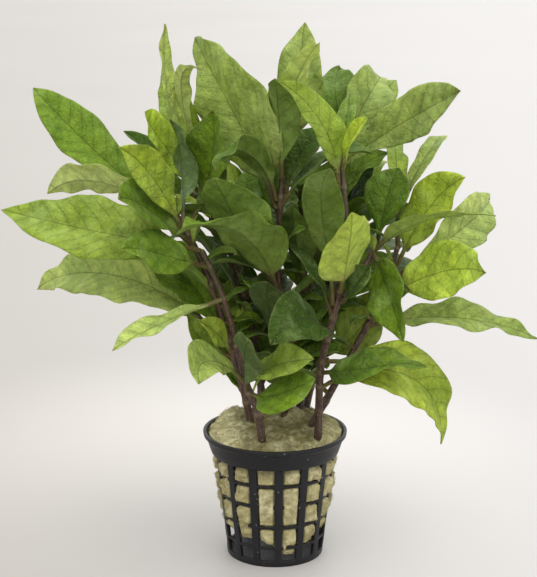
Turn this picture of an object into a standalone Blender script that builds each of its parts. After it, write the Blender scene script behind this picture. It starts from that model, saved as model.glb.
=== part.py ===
"""Potted hygrophila: a bush of leafy stems rooted in rockwool in a black net pot.

Metres, +Z up. The origin is the centre of the pot's underside, and the bush is looked at along +Y.
Each stem is a smooth line of points, and each leaf grows from a height on its stem as one bent blade.
"""

import math

import bmesh
import bpy
from mathutils import Vector, noise

MM = 0.001
GAP = 0.3 * MM

POT_WALL = 1.4 * MM
POT_RIBS = 14
POT_RIB_WIDTH = 3.0 * MM
POT_FRONT_RIB_TURN = math.radians(3.5)
POT_RINGS = (7.7, 16.2, 24.6, 33.1)
POT_RING_HEIGHT = 1.2
POT_BASE_EDGE = 2.5
# Height and outer radius in millimetres, from the base through the rim band to the lip
POT_PROFILE = ((0.0, 18.4), (40.0, 22.9), (40.6, 24.3), (43.5, 25.3), (46.5, 26.2), (47.3, 27.3),
               (49.0, 27.5))

WOOL_CLEARANCE = POT_WALL + 2 * GAP
WOOL_BOTTOM = 12.0 * MM
WOOL_BOTTOM_ROUND = 1.5 * MM
WOOL_SIDE_HEIGHTS = (39.5 * MM, 25.0 * MM)
WOOL_EDGE_TOP = 48.3 * MM
WOOL_EDGE_INSET = 0.5 * MM
WOOL_EDGE_ROUND = 0.8 * MM
WOOL_DOME = 4.2 * MM
WOOL_DOME_SHARES = (0.5, 0.85)
WOOL_DOME_POWER = 3.5
WOOL_TONGUE = Vector((5.0, -14.0, 0.0)) * MM
WOOL_TONGUE_DEPTH = 7.0 * MM
WOOL_TONGUE_SPREAD = 8.0 * MM
WOOL_LUMP = 0.5 * MM
WOOL_LUMP_SIZE = 9.0 * MM
WOOL_STEPS = 18

STEM_FOOT_RADIUS = 1.5 * MM
STEM_TIP_RADIUS = 1.0 * MM
STEM_STEP = 10.0 * MM
STEM_BURIED = 13.0 * MM
STEM_BURIED_LEAN = 0.86
STEM_SMOOTHING = 8
STEM_CAP_MERGE = 0.01 * MM
BORE_PAST_TOP = 6.0 * MM

# Shares of a leaf's length are counted from its foot, and its first rows are the petiole
LEAF_ROWS = (0.0, 0.14, 0.34, 0.57, 0.80, 1.0)
LEAF_PETIOLE_SHARE = 0.14
LEAF_PETIOLE_HALF_WIDTH = 0.8 * MM
LEAF_TIP_HALF_WIDTH = 0.5 * MM
LEAF_FULLNESS = 0.95
LEAF_FOLD = math.radians(14)
LEAF_THICKNESS = 1.0 * MM
LEAF_MARGIN_SHARE = 0.5
LEAF_CURVE_STEPS = 40
# A leaf begins this far from its stem's middle: clear of its skin, or inside it where the two are one piece
LEAF_STANDOFF = 2.0 * MM
LEAF_ROOTED = 0.6 * MM

# Points of each stem in millimetres, from where it leaves the rockwool to its top
STEMS = {
    "front_left": ((-5, -20, 52), (-6.5, -19, 62), (-10.5, -18, 72), (-13.5, -15, 84),
                   (-19, -12, 103), (-27, -8, 121)),
    "left": ((-9, -4, 52), (-12, -4, 66), (-17.5, -4, 85), (-22, -2, 100), (-29, 2, 117),
             (-36.5, 6, 131)),
    "back_left": ((-4, 8, 52), (-7, 10, 74), (-11, 14, 94), (-17, 19, 113), (-23.5, 23, 128),
                  (-29, 26, 140)),
    "centre": ((3.5, 3, 52), (5.5, 3, 76), (3, 2, 95), (1, 1, 109), (1.5, 0, 130), (3, 2, 156)),
    "centre_back": ((9.5, 10, 52), (10.5, 12, 77), (11.5, 15, 101), (10.5, 17, 119), (10, 19, 136),
                    (9.5, 20, 157)),
    "front_right": ((16, -15.5, 52), (16.5, -15.5, 73), (18, -14, 84), (22.5, -12, 101),
                    (26, -11, 125), (24, -6, 154)),
    "right": ((14, -4, 52), (23, -2, 68), (30, 2, 80), (35, 4, 89), (41, 6, 100), (46.5, 9, 119)),
    "back_right": ((12, 14, 52), (17, 20, 75), (21.5, 26, 97), (25, 30, 118), (27.5, 34, 145)),
    "back": ((3, 19, 52), (2, 24, 77), (-1, 29, 107), (-5, 33, 134)),
}
# The branch forks off the front right stem, so it starts clear of that stem's skin
BRANCHES = {"branch_right": ((25, -9.8, 103), (28.5, -7, 107), (34, -3, 114.5), (38.5, 2, 122))}

# Each leaf grows at a height in millimetres on its stem's line and points along a heading, in degrees
# from +X. It starts with a rise above level, and from foot to tip it loses its droop and turns by its
# swing. Its blade is a length long and a width wide in millimetres, rolled about its midrib and
# twisted from foot to tip in degrees, and widest at the share of its length that is its belly.
LEAF_FIELDS = ("height", "heading", "rise", "droop", "swing", "length", "width", "roll", "twist", "belly")
# The first value is True where a small leaf and its stem are one piece
LEAVES = {
    "front_left": (
        (True, 69, -60, 0, -40, 50, 32, 22, -40, -5, 0.5),  # front, low, across the pot
        (True, 70, -105, 60, 20, 30, 33, 17, 60, -10, 0.5),  # front, low, three-cornered
        (True, 73, -170, 55, 85, 95, 39, 17, 40, -5, 0.5),  # left, low, rounded
        (True, 73, -50, 40, 30, 20, 35, 15, -40, -10, 0.5),  # front, low, its edge curled
        (True, 103, -160, -15, 5, 15, 46, 12, 10, 5, 0.6),  # left, low, narrow and twisted
        (False, 115, -160, 20, 5, 35, 38, 18, 65, -5, 0.45),  # left, bright
        (False, 121, -175, 10, 0, -25, 75, 27, 50, -5, 0.4),  # far left, the longest
    ),
    "left": (
        (True, 79, -175, 15, -65, 20, 27, 9, 60, 0, 0.5),  # inner left, low and dark
        (True, 81, -130, 55, 25, -10, 22, 11, 70, 0, 0.5),  # inner left, low, upright
        (False, 85, -185, 50, 85, -40, 93, 25, 20, 40, 0.4),  # left, underside to the front
        (False, 106, 125, 35, 60, 15, 42, 17, 20, 0, 0.45),  # rear left, half way up
        (True, 120, -150, 45, 30, 45, 49, 22, 40, 20, 0.5),  # inner left, short
        (False, 124, -180, 55, 90, -50, 69, 18, -25, -40, 0.5),  # left, arching, folded
        (False, 125, -135, 65, 40, 20, 53, 16, 80, 20, 0.5),  # left, its edge to the front
        (False, 127, 5, 60, -35, -5, 45, 27, -25, -20, 0.6),  # left of the middle, arching back
        (True, 127, -115, 100, 40, -5, 43, 15, 30, -5, 0.5),  # left, top of the stem, curling in
        (False, 131, 155, 30, -15, 5, 74, 20, 55, -10, 0.6),  # upper left, large
    ),
    "back_left": (
        (True, 76, 140, 45, -45, 15, 31, 13, 85, 15, 0.5),  # inner left, low, bright
        (True, 79, -180, 20, -65, 15, 26, 11, 60, 0, 0.5),  # inner left, low
        (False, 98, 135, 30, 75, 0, 48, 21, 15, 0, 0.45),  # rear left, low
        (False, 120, 115, 50, 75, 10, 48, 21, 10, 0, 0.45),  # rear left, high
        (False, 126, 235, 85, 25, -15, 37, 18, 10, -35, 0.5),  # dark, in the shade of the stem's top
        (True, 132, 165, 30, 55, -45, 60, 13, 40, 15, 0.45),  # left, dark, behind others
        (False, 134, 200, 60, 35, 75, 57, 16, 80, 15, 0.5),  # left, pale, behind others
        (False, 136, 170, 45, 10, 50, 39, 12, 20, 40, 0.45),  # left, greyish
        (False, 140, 185, 65, -30, -15, 62, 13, 15, 0, 0.5),  # upper left, upright, its edge to the front
        (True, 140, -140, 85, 75, 85, 71, 7, 35, -5, 0.5),  # upper left, thin arc
        (False, 142, 140, 95, 85, -30, 52, 17, 70, 5, 0.5),  # upper left, behind the arc
    ),
    "centre": (
        (True, 77, -140, 60, 15, 60, 44, 19, 15, 5, 0.5),  # middle, low, bluish
        (False, 102, -120, 70, 80, -20, 68, 27, -20, 5, 0.4),  # left of the middle, pale edge
        (False, 106, -150, 55, 5, 40, 56, 28, -10, 5, 0.5),  # left of the middle, hanging
        (False, 135, 155, 70, 40, -45, 79, 29, 85, 0, 0.45),  # upper left of the middle, the widest
        (False, 138, -165, 85, 125, 65, 48, 14, -35, -5, 0.45),  # middle, crumpled
        (False, 139, 25, 80, 50, 30, 31, 13, -15, -5, 0.5),  # middle, behind, dark
        (False, 146, -95, 80, 20, -10, 41, 17, 25, 0, 0.55),  # middle, top, curled in
        (False, 156, -55, 95, 75, -15, 53, 13, -15, 5, 0.5),  # middle, top, folded
    ),
    "centre_back": (
        (True, 101, -115, 70, 15, 15, 40, 15, 10, 0, 0.5),  # middle, narrow, in the shade
        (False, 136, 5, 45, 25, -75, 83, 20, -65, -10, 0.6),  # upper right, large
        (False, 154, 95, 95, 40, -20, 49, 19, 5, 10, 0.45),  # the topmost
    ),
    "front_right": (
        (False, 71, 0, 35, 130, 45, 69, 25, -35, -40, 0.4),  # right, low, long and hanging
        (True, 76, -50, 15, 0, 25, 30, 18, -35, -5, 0.5),  # right, low, short
        (True, 80, -10, 5, 10, 0, 38, 15, -15, 5, 0.5),  # right, low, level
        (False, 88, -115, 65, 110, -20, 41, 22, 35, 15, 0.45),  # middle, low, rounded and turned down
        (True, 96, 150, 80, 85, -35, 42, 7, -10, -5, 0.5),  # middle, narrow arc
        (False, 101, -140, 90, 60, 70, 68, 16, 10, 0, 0.5),  # middle, upright oval
        (False, 102, -30, 50, -5, 0, 19, 13, -45, -20, 0.5),  # right of the middle, dark, inside
        (False, 106, -75, 65, 30, -20, 47, 22, -20, 0, 0.3),  # right of the middle, pale underside
        (False, 144, -165, 90, 65, 20, 50, 15, 65, 0, 0.4),  # top, arching to the front
        (True, 151, -50, 75, 35, 0, 24, 8, -70, 0, 0.5),  # young, top right, bright
        (True, 156, 70, 80, 60, 15, 29, 8, 5, 10, 0.5),  # young, top right
    ),
    "branch_right": (
        (True, 118, -75, -25, 35, 10, 40, 21, -70, 0, 0.4),  # right, dark, hanging
        (True, 119, -50, 45, 50, 40, 53, 11, 20, -5, 0.3),  # right, narrow arc
        (True, 120, 45, 75, 15, 0, 31, 19, -10, -10, 0.6),  # right, short, folded tip
    ),
    "right": (
        (False, 89, -20, 20, 45, 25, 64, 17, -25, 0, 0.4),  # far right, low, level
        (False, 99, -10, 40, 40, -60, 50, 23, -65, -15, 0.45),  # right, bright
        (False, 100, 55, 35, 70, 20, 44, 19, -10, 0, 0.45),  # rear right, low
        (False, 107, -15, 40, 30, 95, 59, 19, -80, 15, 0.6),  # far right, pale
        (False, 112, -20, 70, 35, -25, 46, 21, -65, -10, 0.5),  # right, bright, tip curled
        (True, 118, 10, 100, 125, 85, 71, 8, 10, -15, 0.5),  # right, narrow
        (False, 120, 95, 100, 120, -10, 64, 10, -30, -5, 0.5),  # right, narrow, upright
    ),
    "back_right": (
        (False, 72, -10, 25, -55, 5, 37, 23, -55, 0, 0.5),  # right, low, behind others
        (False, 88, 85, 20, 55, -20, 42, 18, 15, 30, 0.45),  # rear, low, right of the middle
        (False, 104, 40, 30, 60, 20, 50, 22, -10, 0, 0.45),  # rear right, half way up
        (True, 126, 30, 65, 0, -25, 28, 23, -30, 10, 0.5),  # right, short and dark
        (False, 126, 65, 55, 80, 10, 48, 21, 0, 0, 0.45),  # rear right, high
        (False, 142, 135, 100, 85, -65, 50, 19, -15, 20, 0.55),  # upper right, rounded and dark
        (False, 143, 45, 70, 65, 25, 54, 13, -30, 10, 0.5),  # upper right, behind others
        (False, 145, 15, 100, 110, 75, 52, 19, -60, 25, 0.55),  # upper right, crinkled
    ),
    "back": (
        (False, 88, 55, 20, 50, 10, 40, 19, 0, 5, 0.45),  # rear, low
        (False, 106, 110, 35, 70, 10, 46, 22, 10, 0, 0.45),  # rear, half way up
        (False, 118, 30, 45, 70, 15, 50, 21, -25, 5, 0.45),  # rear, right of the middle
        (False, 124, 160, 50, 60, -20, 46, 20, 30, 0, 0.45),  # rear, left of the middle
        (False, 128, 95, 65, 60, 20, 48, 22, 0, 0, 0.45),  # rear, top
    ),
}


def new_collection(name):
    collection = bpy.data.collections.new(name)
    bpy.context.scene.collection.children.link(collection)
    return collection


def new_material(name, color, roughness):
    material = bpy.data.materials.new(name)
    material.use_nodes = True
    shader = material.node_tree.nodes["Principled BSDF"]
    shader.inputs["Base Color"].default_value = (*color, 1.0)
    shader.inputs["Roughness"].default_value = roughness
    shader.inputs["Metallic"].default_value = 0.0
    return material


def new_object(name, data, material, collection):
    obj = bpy.data.objects.new(name, data)
    data.materials.append(material)
    collection.objects.link(obj)
    return obj


def interpolate(table, x):
    """The value at x on a line through the (x, value) pairs of the table."""
    for (x0, y0), (x1, y1) in zip(table, table[1:]):
        if x <= x1:
            return y0 + (y1 - y0) * (x - x0) / (x1 - x0)
    return table[-1][1]


def pot_radius(height):
    """Outer radius of the pot at a height, in metres."""
    return interpolate(POT_PROFILE, height / MM) * MM


def smooth_line(points):
    """A Catmull-Rom line through points given in millimetres, as closely spaced points in metres."""
    line = [Vector(point) * MM for point in points]
    line = [2 * line[0] - line[1], *line, 2 * line[-1] - line[-2]]
    smooth = []
    for a, b, c, d in zip(line, line[1:], line[2:], line[3:]):
        for step in range(STEM_SMOOTHING):
            t = step / STEM_SMOOTHING
            bend = 2 * a - 5 * b + 4 * c - d
            smooth.append(0.5 * (2 * b + (c - a) * t + bend * t * t + (3 * b - a - 3 * c + d) * t**3))
    return [*smooth, line[-2]]


def point_at_height(line, height):
    """Where a rising line passes a height, or its top."""
    for low, high in zip(line, line[1:]):
        if high.z >= height:
            share = max(0.0, (height - low.z) / (high.z - low.z))
            return low.lerp(high, share)
    return line[-1]


def spaced(line, step):
    """Points of the line about one step apart, both ends among them, each with its share of the way."""
    lengths = [0.0]
    for a, b in zip(line, line[1:]):
        lengths.append(lengths[-1] + (b - a).length)
    count = max(2, round(lengths[-1] / step))
    picked = []
    for i in range(count + 1):
        target = lengths[-1] * i / count
        k = min(range(len(line)), key=lambda n: abs(lengths[n] - target))
        picked.append((line[k], i / count))
    return picked


def tube(name, points, radii, material, collection):
    """A round closed tube along the points, as a mesh object."""
    curve = bpy.data.curves.new(name, "CURVE")
    curve.dimensions = "3D"
    curve.bevel_depth = 1.0
    curve.bevel_resolution = 2
    curve.use_fill_caps = True
    spline = curve.splines.new("POLY")
    spline.points.add(len(points) - 1)
    for spline_point, point, radius in zip(spline.points, points, radii):
        spline_point.co = (*point, 1.0)
        spline_point.radius = radius
    guide = bpy.data.objects.new(name + "_line", curve)
    collection.objects.link(guide)
    graph = bpy.context.evaluated_depsgraph_get()
    mesh = bpy.data.meshes.new_from_object(guide.evaluated_get(graph))
    bpy.data.objects.remove(guide)
    shell = bmesh.new()
    shell.from_mesh(mesh)
    bmesh.ops.remove_doubles(shell, verts=shell.verts, dist=STEM_CAP_MERGE)
    bmesh.ops.recalc_face_normals(shell, faces=shell.faces)
    shell.to_mesh(mesh)
    shell.free()
    mesh.materials.clear()
    obj = new_object(name, mesh, material, collection)
    mesh.shade_smooth()
    return obj


def pot_columns():
    """Turns round the pot where its ribs begin and end, starting at one side of the front rib."""
    pitch = 2 * math.pi / POT_RIBS
    rib = POT_RIB_WIDTH / pot_radius(0.025)
    start = -math.pi / 2 + POT_FRONT_RIB_TURN - rib / 2
    turns = []
    for i in range(POT_RIBS):
        turns += [start + i * pitch, start + i * pitch + rib]
    return [*turns, start + 2 * math.pi]


def pot_heights():
    """Heights of the wall's rows, and the rows that are windows between the rings."""
    heights = [0.0, POT_BASE_EDGE]
    windows = []
    for ring in POT_RINGS:
        windows.append(len(heights) - 1)
        heights += [ring - POT_RING_HEIGHT / 2, ring + POT_RING_HEIGHT / 2]
    windows.append(len(heights) - 1)
    heights += [height for height, radius in POT_PROFILE[1:]]
    return [height * MM for height in heights], windows


def make_pot(material, collection):
    """The net pot: a ribbed cone with five rows of windows, a rim band and a flat base."""
    turns = pot_columns()
    heights, window_rows = pot_heights()
    columns, rows = len(turns) - 1, len(heights) - 1
    shell = bmesh.new()
    bmesh.ops.create_grid(shell, x_segments=columns, y_segments=rows, size=0.5)
    for vert in shell.verts:
        turn = turns[round((vert.co.x + 0.5) * columns)]
        height = heights[round((vert.co.y + 0.5) * rows)]
        radius = pot_radius(height)
        vert.co = (radius * math.cos(turn), radius * math.sin(turn), height)
    windows = []
    for face in shell.faces:
        middle = face.calc_center_median()
        row = max(i for i in range(rows) if heights[i] < middle.z)
        turn = (math.atan2(middle.y, middle.x) - turns[0]) % (2 * math.pi)
        column = max(i for i in range(columns) if turns[i] - turns[0] < turn)
        if row in window_rows and column % 2 == 1:
            windows.append(face)
    bmesh.ops.delete(shell, geom=windows, context="FACES")
    bmesh.ops.remove_doubles(shell, verts=shell.verts, dist=0.01 * MM)
    foot = [edge for edge in shell.edges if edge.is_boundary and max(v.co.z for v in edge.verts) < GAP]
    bmesh.ops.contextual_create(shell, geom=foot)
    bmesh.ops.recalc_face_normals(shell, faces=shell.faces)
    mesh = bpy.data.meshes.new("pot")
    shell.to_mesh(mesh)
    shell.free()
    pot = new_object("pot", mesh, material, collection)
    wall = pot.modifiers.new("Wall", "SOLIDIFY")
    wall.thickness = POT_WALL
    wall.offset = -1.0
    return pot


def wool_profile():
    """Radius and height of the rockwool, from the middle of its top down to the middle of its underside."""
    profile = [(0.0, WOOL_EDGE_TOP + WOOL_DOME)]
    edge_radius = pot_radius(WOOL_EDGE_TOP) - WOOL_CLEARANCE - WOOL_EDGE_INSET
    for share in WOOL_DOME_SHARES:
        profile.append((share * edge_radius, WOOL_EDGE_TOP + WOOL_DOME * (1 - share**WOOL_DOME_POWER)))
    profile.append((edge_radius, WOOL_EDGE_TOP - WOOL_EDGE_ROUND))
    for height in (*WOOL_SIDE_HEIGHTS, WOOL_BOTTOM + WOOL_BOTTOM_ROUND):
        profile.append((pot_radius(height) - WOOL_CLEARANCE, height))
    profile.append((0.0, WOOL_BOTTOM))
    return profile


def make_wool(material, collection):
    """The rockwool plug: a turned block with an uneven top and an underside that reaches lower in front."""
    profile = wool_profile()
    outline = bpy.data.meshes.new("rockwool")
    points = [(radius, 0.0, height) for radius, height in profile]
    outline.from_pydata(points, [(i, i + 1) for i in range(len(points) - 1)], [])
    wool = new_object("rockwool", outline, material, collection)
    turn = wool.modifiers.new("Turn", "SCREW")
    turn.angle = 2 * math.pi
    turn.steps = WOOL_STEPS
    turn.render_steps = WOOL_STEPS
    turn.use_merge_vertices = True
    turn.merge_threshold = 0.00005
    graph = bpy.context.evaluated_depsgraph_get()
    mesh = bpy.data.meshes.new_from_object(wool.evaluated_get(graph))
    wool.modifiers.clear()
    wool.data = mesh
    bpy.data.meshes.remove(outline)
    for vert in mesh.vertices:
        lump = noise.noise(vert.co / WOOL_LUMP_SIZE) * WOOL_LUMP
        if vert.co.z > WOOL_EDGE_TOP - WOOL_EDGE_ROUND / 2:
            vert.co.z += lump
        if vert.co.z < WOOL_BOTTOM + 1.1 * WOOL_BOTTOM_ROUND:
            away = (Vector((vert.co.x, vert.co.y, 0.0)) - WOOL_TONGUE).length / WOOL_TONGUE_SPREAD
            drop = WOOL_TONGUE_DEPTH * math.exp(-away * away)
            squeeze = pot_radius(vert.co.z - drop) / pot_radius(vert.co.z)
            vert.co = (vert.co.x * squeeze, vert.co.y * squeeze, vert.co.z - drop + 2 * lump)
    return wool


def buried_line(line):
    """The stem's last stretch under the rockwool's surface, leaning in as the pot narrows."""
    foot = line[0]
    end = Vector((foot.x * STEM_BURIED_LEAN, foot.y * STEM_BURIED_LEAN, foot.z - STEM_BURIED))
    return [end, end.lerp(foot, 0.5)]


def make_stem(name, line, buried, material, collection):
    """A tapering stem along its line, and a straight stretch down in the rockwool if it is buried."""
    picked = spaced(line, STEM_STEP)
    points = [point for point, share in picked]
    radii = [STEM_FOOT_RADIUS + (STEM_TIP_RADIUS - STEM_FOOT_RADIUS) * share for point, share in picked]
    if buried:
        below = buried_line(line)
        points = below + points
        radii = [STEM_FOOT_RADIUS] * len(below) + radii
    return tube("stem_" + name, points, radii, material, collection)


def bore_wool(wool, name, line, material, helpers):
    """A hole in the rockwool that the stem stands in, one gap wider than the stem all round."""
    below = buried_line(line)
    down = (below[0] - line[0]).normalized()
    points = [below[0] + down * GAP, *below[1:], line[0], line[0] - down * BORE_PAST_TOP]
    cutter = tube("bore_" + name, points, [STEM_FOOT_RADIUS + GAP] * len(points), material, helpers)
    hide(cutter)
    cut = wool.modifiers.new("Bore " + name, "BOOLEAN")
    cut.operation = "DIFFERENCE"
    cut.object = cutter


def hide(obj):
    obj.hide_render = True
    obj.display_type = "WIRE"


def leaf_half_width(leaf, t):
    """Half the blade's width at the share t of the leaf's length, petiole first."""
    if t <= LEAF_PETIOLE_SHARE:
        return LEAF_PETIOLE_HALF_WIDTH
    share = (t - LEAF_PETIOLE_SHARE) / (1 - LEAF_PETIOLE_SHARE)
    bend = math.log(0.5) / math.log(leaf["belly"])
    swell = max(0.0, math.sin(math.pi * share**bend)) ** LEAF_FULLNESS
    return max(LEAF_TIP_HALF_WIDTH, 0.5 * leaf["width"] * MM * swell)


def leaf_axes(leaf, t):
    """The leaf's direction, side and upper normal at the share t, with its heading along +X."""
    turn = math.radians(leaf["swing"] * t)
    pitch = math.radians(leaf["rise"] - leaf["droop"] * t)
    roll = math.radians(leaf["roll"] + leaf["twist"] * t)
    along = Vector((math.cos(pitch) * math.cos(turn), math.cos(pitch) * math.sin(turn), math.sin(pitch)))
    level = Vector((-math.sin(turn), math.cos(turn), 0.0))
    up = along.cross(level)
    side = level * math.cos(roll) - up * math.sin(roll)
    normal = up * math.cos(roll) + level * math.sin(roll)
    return along, side, normal


def leaf_midrib(leaf):
    """Points along the midrib, from the leaf's foot at the origin."""
    points = [Vector()]
    step = leaf["length"] * MM / LEAF_CURVE_STEPS
    for i in range(LEAF_CURVE_STEPS):
        along, side, normal = leaf_axes(leaf, (i + 0.5) / LEAF_CURVE_STEPS)
        points.append(points[-1] + along * step)
    return points


def point_on(points, t):
    place = t * (len(points) - 1)
    k = min(int(place), len(points) - 2)
    return points[k].lerp(points[k + 1], place - k)


def leaf_mesh(name, leaf):
    """The blade as an open sheet three points wide, folded up a little along its midrib."""
    rows = len(LEAF_ROWS) - 1
    midrib = leaf_midrib(leaf)
    sheet = bmesh.new()
    bmesh.ops.create_grid(sheet, x_segments=2, y_segments=rows, size=0.5)
    weights = sheet.verts.layers.deform.verify()
    for vert in sheet.verts:
        across = round(vert.co.x * 2)
        t = LEAF_ROWS[round((vert.co.y + 0.5) * rows)]
        along, side, normal = leaf_axes(leaf, t)
        fold = LEAF_FOLD if t > 0.1 else 0.0
        reach = side * math.cos(fold) * across + normal * math.sin(fold) * abs(across)
        vert.co = point_on(midrib, t) + reach * leaf_half_width(leaf, t)
        vert[weights][0] = 0.0 if across and t > LEAF_PETIOLE_SHARE else 1.0
    mesh = bpy.data.meshes.new(name)
    sheet.to_mesh(mesh)
    sheet.free()
    return mesh


def make_leaf(name, leaf, line, rooted, material, collection):
    """A leaf on its stem. A rooted one starts inside the stem, so that the two can be joined."""
    heading = math.radians(leaf["heading"])
    outward = Vector((math.cos(heading), math.sin(heading), 0.0))
    obj = new_object(name, leaf_mesh(name, leaf), material, collection)
    start = LEAF_ROOTED if rooted else LEAF_STANDOFF
    obj.location = point_at_height(line, leaf["height"] * MM) + outward * start
    obj.rotation_euler = (0.0, 0.0, heading)
    obj.vertex_groups.new(name="thick")
    blade = obj.modifiers.new("Blade", "SOLIDIFY")
    blade.thickness = LEAF_THICKNESS
    blade.offset = 0.0
    blade.vertex_group = "thick"
    blade.thickness_vertex_group = LEAF_MARGIN_SHARE
    obj.data.shade_smooth()
    return obj


def join_to_stem(stem, leaf):
    hide(leaf)
    join = stem.modifiers.new("Join " + leaf.name, "BOOLEAN")
    join.operation = "UNION"
    join.object = leaf


def main():
    for obj in list(bpy.data.objects):
        bpy.data.objects.remove(obj)
    parts = new_collection("potted_hygrophila")
    helpers = new_collection("helpers")
    pot_plastic = new_material("pot_plastic", (0.012, 0.013, 0.018), 0.45)
    rockwool = new_material("rockwool", (0.42, 0.39, 0.22), 0.95)
    bark = new_material("stem_bark", (0.070, 0.035, 0.030), 0.6)
    green = new_material("leaf_green", (0.13, 0.22, 0.03), 0.5)

    make_pot(pot_plastic, parts)
    wool = make_wool(rockwool, parts)
    lines = {name: smooth_line(points) for name, points in {**STEMS, **BRANCHES}.items()}
    stems = {}
    for name, line in lines.items():
        stems[name] = make_stem(name, line, name in STEMS, bark, parts)
        if name in STEMS:
            bore_wool(wool, name, line, rockwool, helpers)
    for stem_name, leaves in LEAVES.items():
        for number, (rooted, *values) in enumerate(leaves, start=1):
            leaf = dict(zip(LEAF_FIELDS, values))
            name = f"leaf_{stem_name}_{number}"
            obj = make_leaf(name, leaf, lines[stem_name], rooted, green, helpers if rooted else parts)
            if rooted:
                join_to_stem(stems[stem_name], obj)


main()
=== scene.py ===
"""Looks of the potted hygrophila: veined leaves on jointed stems, fibrous rockwool and a net pot.

Metres, +Z up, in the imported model's frame. The stems and leaves repeat the solids' own design values.
"""
import itertools
import math

import bmesh
import bpy
import numpy as np
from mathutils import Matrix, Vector, noise
from mathutils.bvhtree import BVHTree


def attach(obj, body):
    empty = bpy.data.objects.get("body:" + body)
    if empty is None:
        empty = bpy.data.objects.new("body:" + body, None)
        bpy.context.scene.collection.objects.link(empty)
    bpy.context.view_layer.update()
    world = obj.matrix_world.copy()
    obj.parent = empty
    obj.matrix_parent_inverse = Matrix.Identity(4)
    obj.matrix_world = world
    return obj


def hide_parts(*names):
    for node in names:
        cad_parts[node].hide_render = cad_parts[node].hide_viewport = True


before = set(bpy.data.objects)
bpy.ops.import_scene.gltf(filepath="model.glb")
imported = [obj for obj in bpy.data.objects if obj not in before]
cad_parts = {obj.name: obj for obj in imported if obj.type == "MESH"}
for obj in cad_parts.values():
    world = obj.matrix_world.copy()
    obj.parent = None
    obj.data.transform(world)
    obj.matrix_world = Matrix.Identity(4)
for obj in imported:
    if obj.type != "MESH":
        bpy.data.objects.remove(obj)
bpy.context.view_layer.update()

MM = 0.001
BODY = "root"

# The photograph's view
IMAGE_WIDTH = 537
FOCAL_PIXELS = 1644
SENSOR = 36.0
CAMERA_PLACE = Vector((-2.5, -598.5, 249.0)) * MM
CAMERA_DOWN = math.radians(13.6)

POT_WALL = 1.4 * MM
POT_RIBS = 14
POT_PITCH = 2 * math.pi / POT_RIBS
POT_RIB_WIDTH = 3.0 * MM
# In millimetres: the height at which the ribs' width is measured, and about the wall's radius
POT_RIB_LEVEL = 25
POT_MEAN_RADIUS = 22
POT_FRONT_RIB_TURN = math.radians(3.5)
POT_RINGS = (7.7, 16.2, 24.6, 33.1)
POT_RING_HEIGHT = 1.2
POT_BASE_EDGE = 2.5
# Height and outer radius in millimetres, from the base through the rim band to the lip
POT_PROFILE = ((0.0, 18.4), (40.0, 22.9), (40.6, 24.3), (43.5, 25.3), (46.5, 26.2), (47.3, 27.3),
               (49.0, 27.5))
POT_BORE = ((0.0, 17.0), (40.0, 21.5), (42.0, 22.9), (46.0, 24.7), (49.0, 26.3))
POT_RING_RECESS = 0.5 * MM
POT_RIB_COLUMNS = 3
POT_WINDOW_COLUMNS = 5
POT_EDGE = 0.22 * MM
POT_EDGE_ANGLE = math.radians(28)

WOOL_SIDES = 336
WOOL_BOTTOM = 12.0 * MM
WOOL_EDGE_TOP = 48.2 * MM
WOOL_DOME = 4.6 * MM
WOOL_DOME_POWER = 4.5
WOOL_SIDE_ROWS = 96
WOOL_TOP_ROWS = 52
WOOL_UNDER_ROWS = 14
WOOL_CLEARANCE = 0.25
WOOL_BULGE = 1.75 * MM
WOOL_SIDE_BULGE = 0.8 * MM
# Heights in millimetres between which the swelling fades out under the rim band
WOOL_BULGE_TOP = (37.5, 39.8)
WOOL_EDGE_ROUNDING = 0.8 * MM
# Mounds and hollows of the rockwool's top: place, height and spread in millimetres
WOOL_MOUNDS = ((-17, 14, 2.6, 6), (15, 17, 1.6, 6), (8, 3, 3.4, 3.6), (-3, 12, 1.5, 4), (19, -6, 0.8, 5),
               (1, -2, -1.4, 4), (12, -7, -1.2, 3.5), (-14, 2, 1.2, 4), (-2, -14, 0.9, 4))
WOOL_FIBRES = 7000
WOOL_FIBRE_RADIUS = 0.05 * MM
WOOL_FIBRE_SEED = 7
# Display colours of the rockwool and of its fibres: light, dark and stained
WOOL_TONES = ((212, 204, 154), (142, 134, 92), (134, 128, 80))
WOOL_STRAND_TONES = ((230, 222, 182), (170, 160, 114), (146, 136, 92))
# The wool hangs lowest in the windows at this place
WOOL_TONGUE = Vector((5.0, -14.0, 0.0)) * MM
WOOL_TONGUE_DEPTH = 7.5 * MM
WOOL_TONGUE_SPREAD = 8.0 * MM

STEM_FOOT_RADIUS = 1.42 * MM
STEM_TIP_RADIUS = 0.85 * MM
STEM_BURIED = 13.0 * MM
STEM_BURIED_LEAN = 0.86
STEM_SMOOTHING = 8
STEM_STEP = 0.7 * MM
STEM_SIDES = 16
# The last points of a stem close in to its round tip
STEM_TIP_POINTS = 4
STEM_TIP_LENGTH = 3.2
# How far the swelling, the pale ring and the scar reach up and down from a joint or scar
STEM_SWELLING = 1.3 * MM
STEM_MARK = 0.7 * MM
STEM_SCAR = 0.35 * MM
STEM_SCAR_ABOVE = 1.2 * MM
JOINT_LOWEST = 9 * MM
BRANCH_JOINT_LOWEST = 4 * MM
# Joints keep this far apart, and a longer gap gets one more in its middle
JOINT_APART = 4 * MM
JOINT_FURTHEST = 24 * MM

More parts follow.
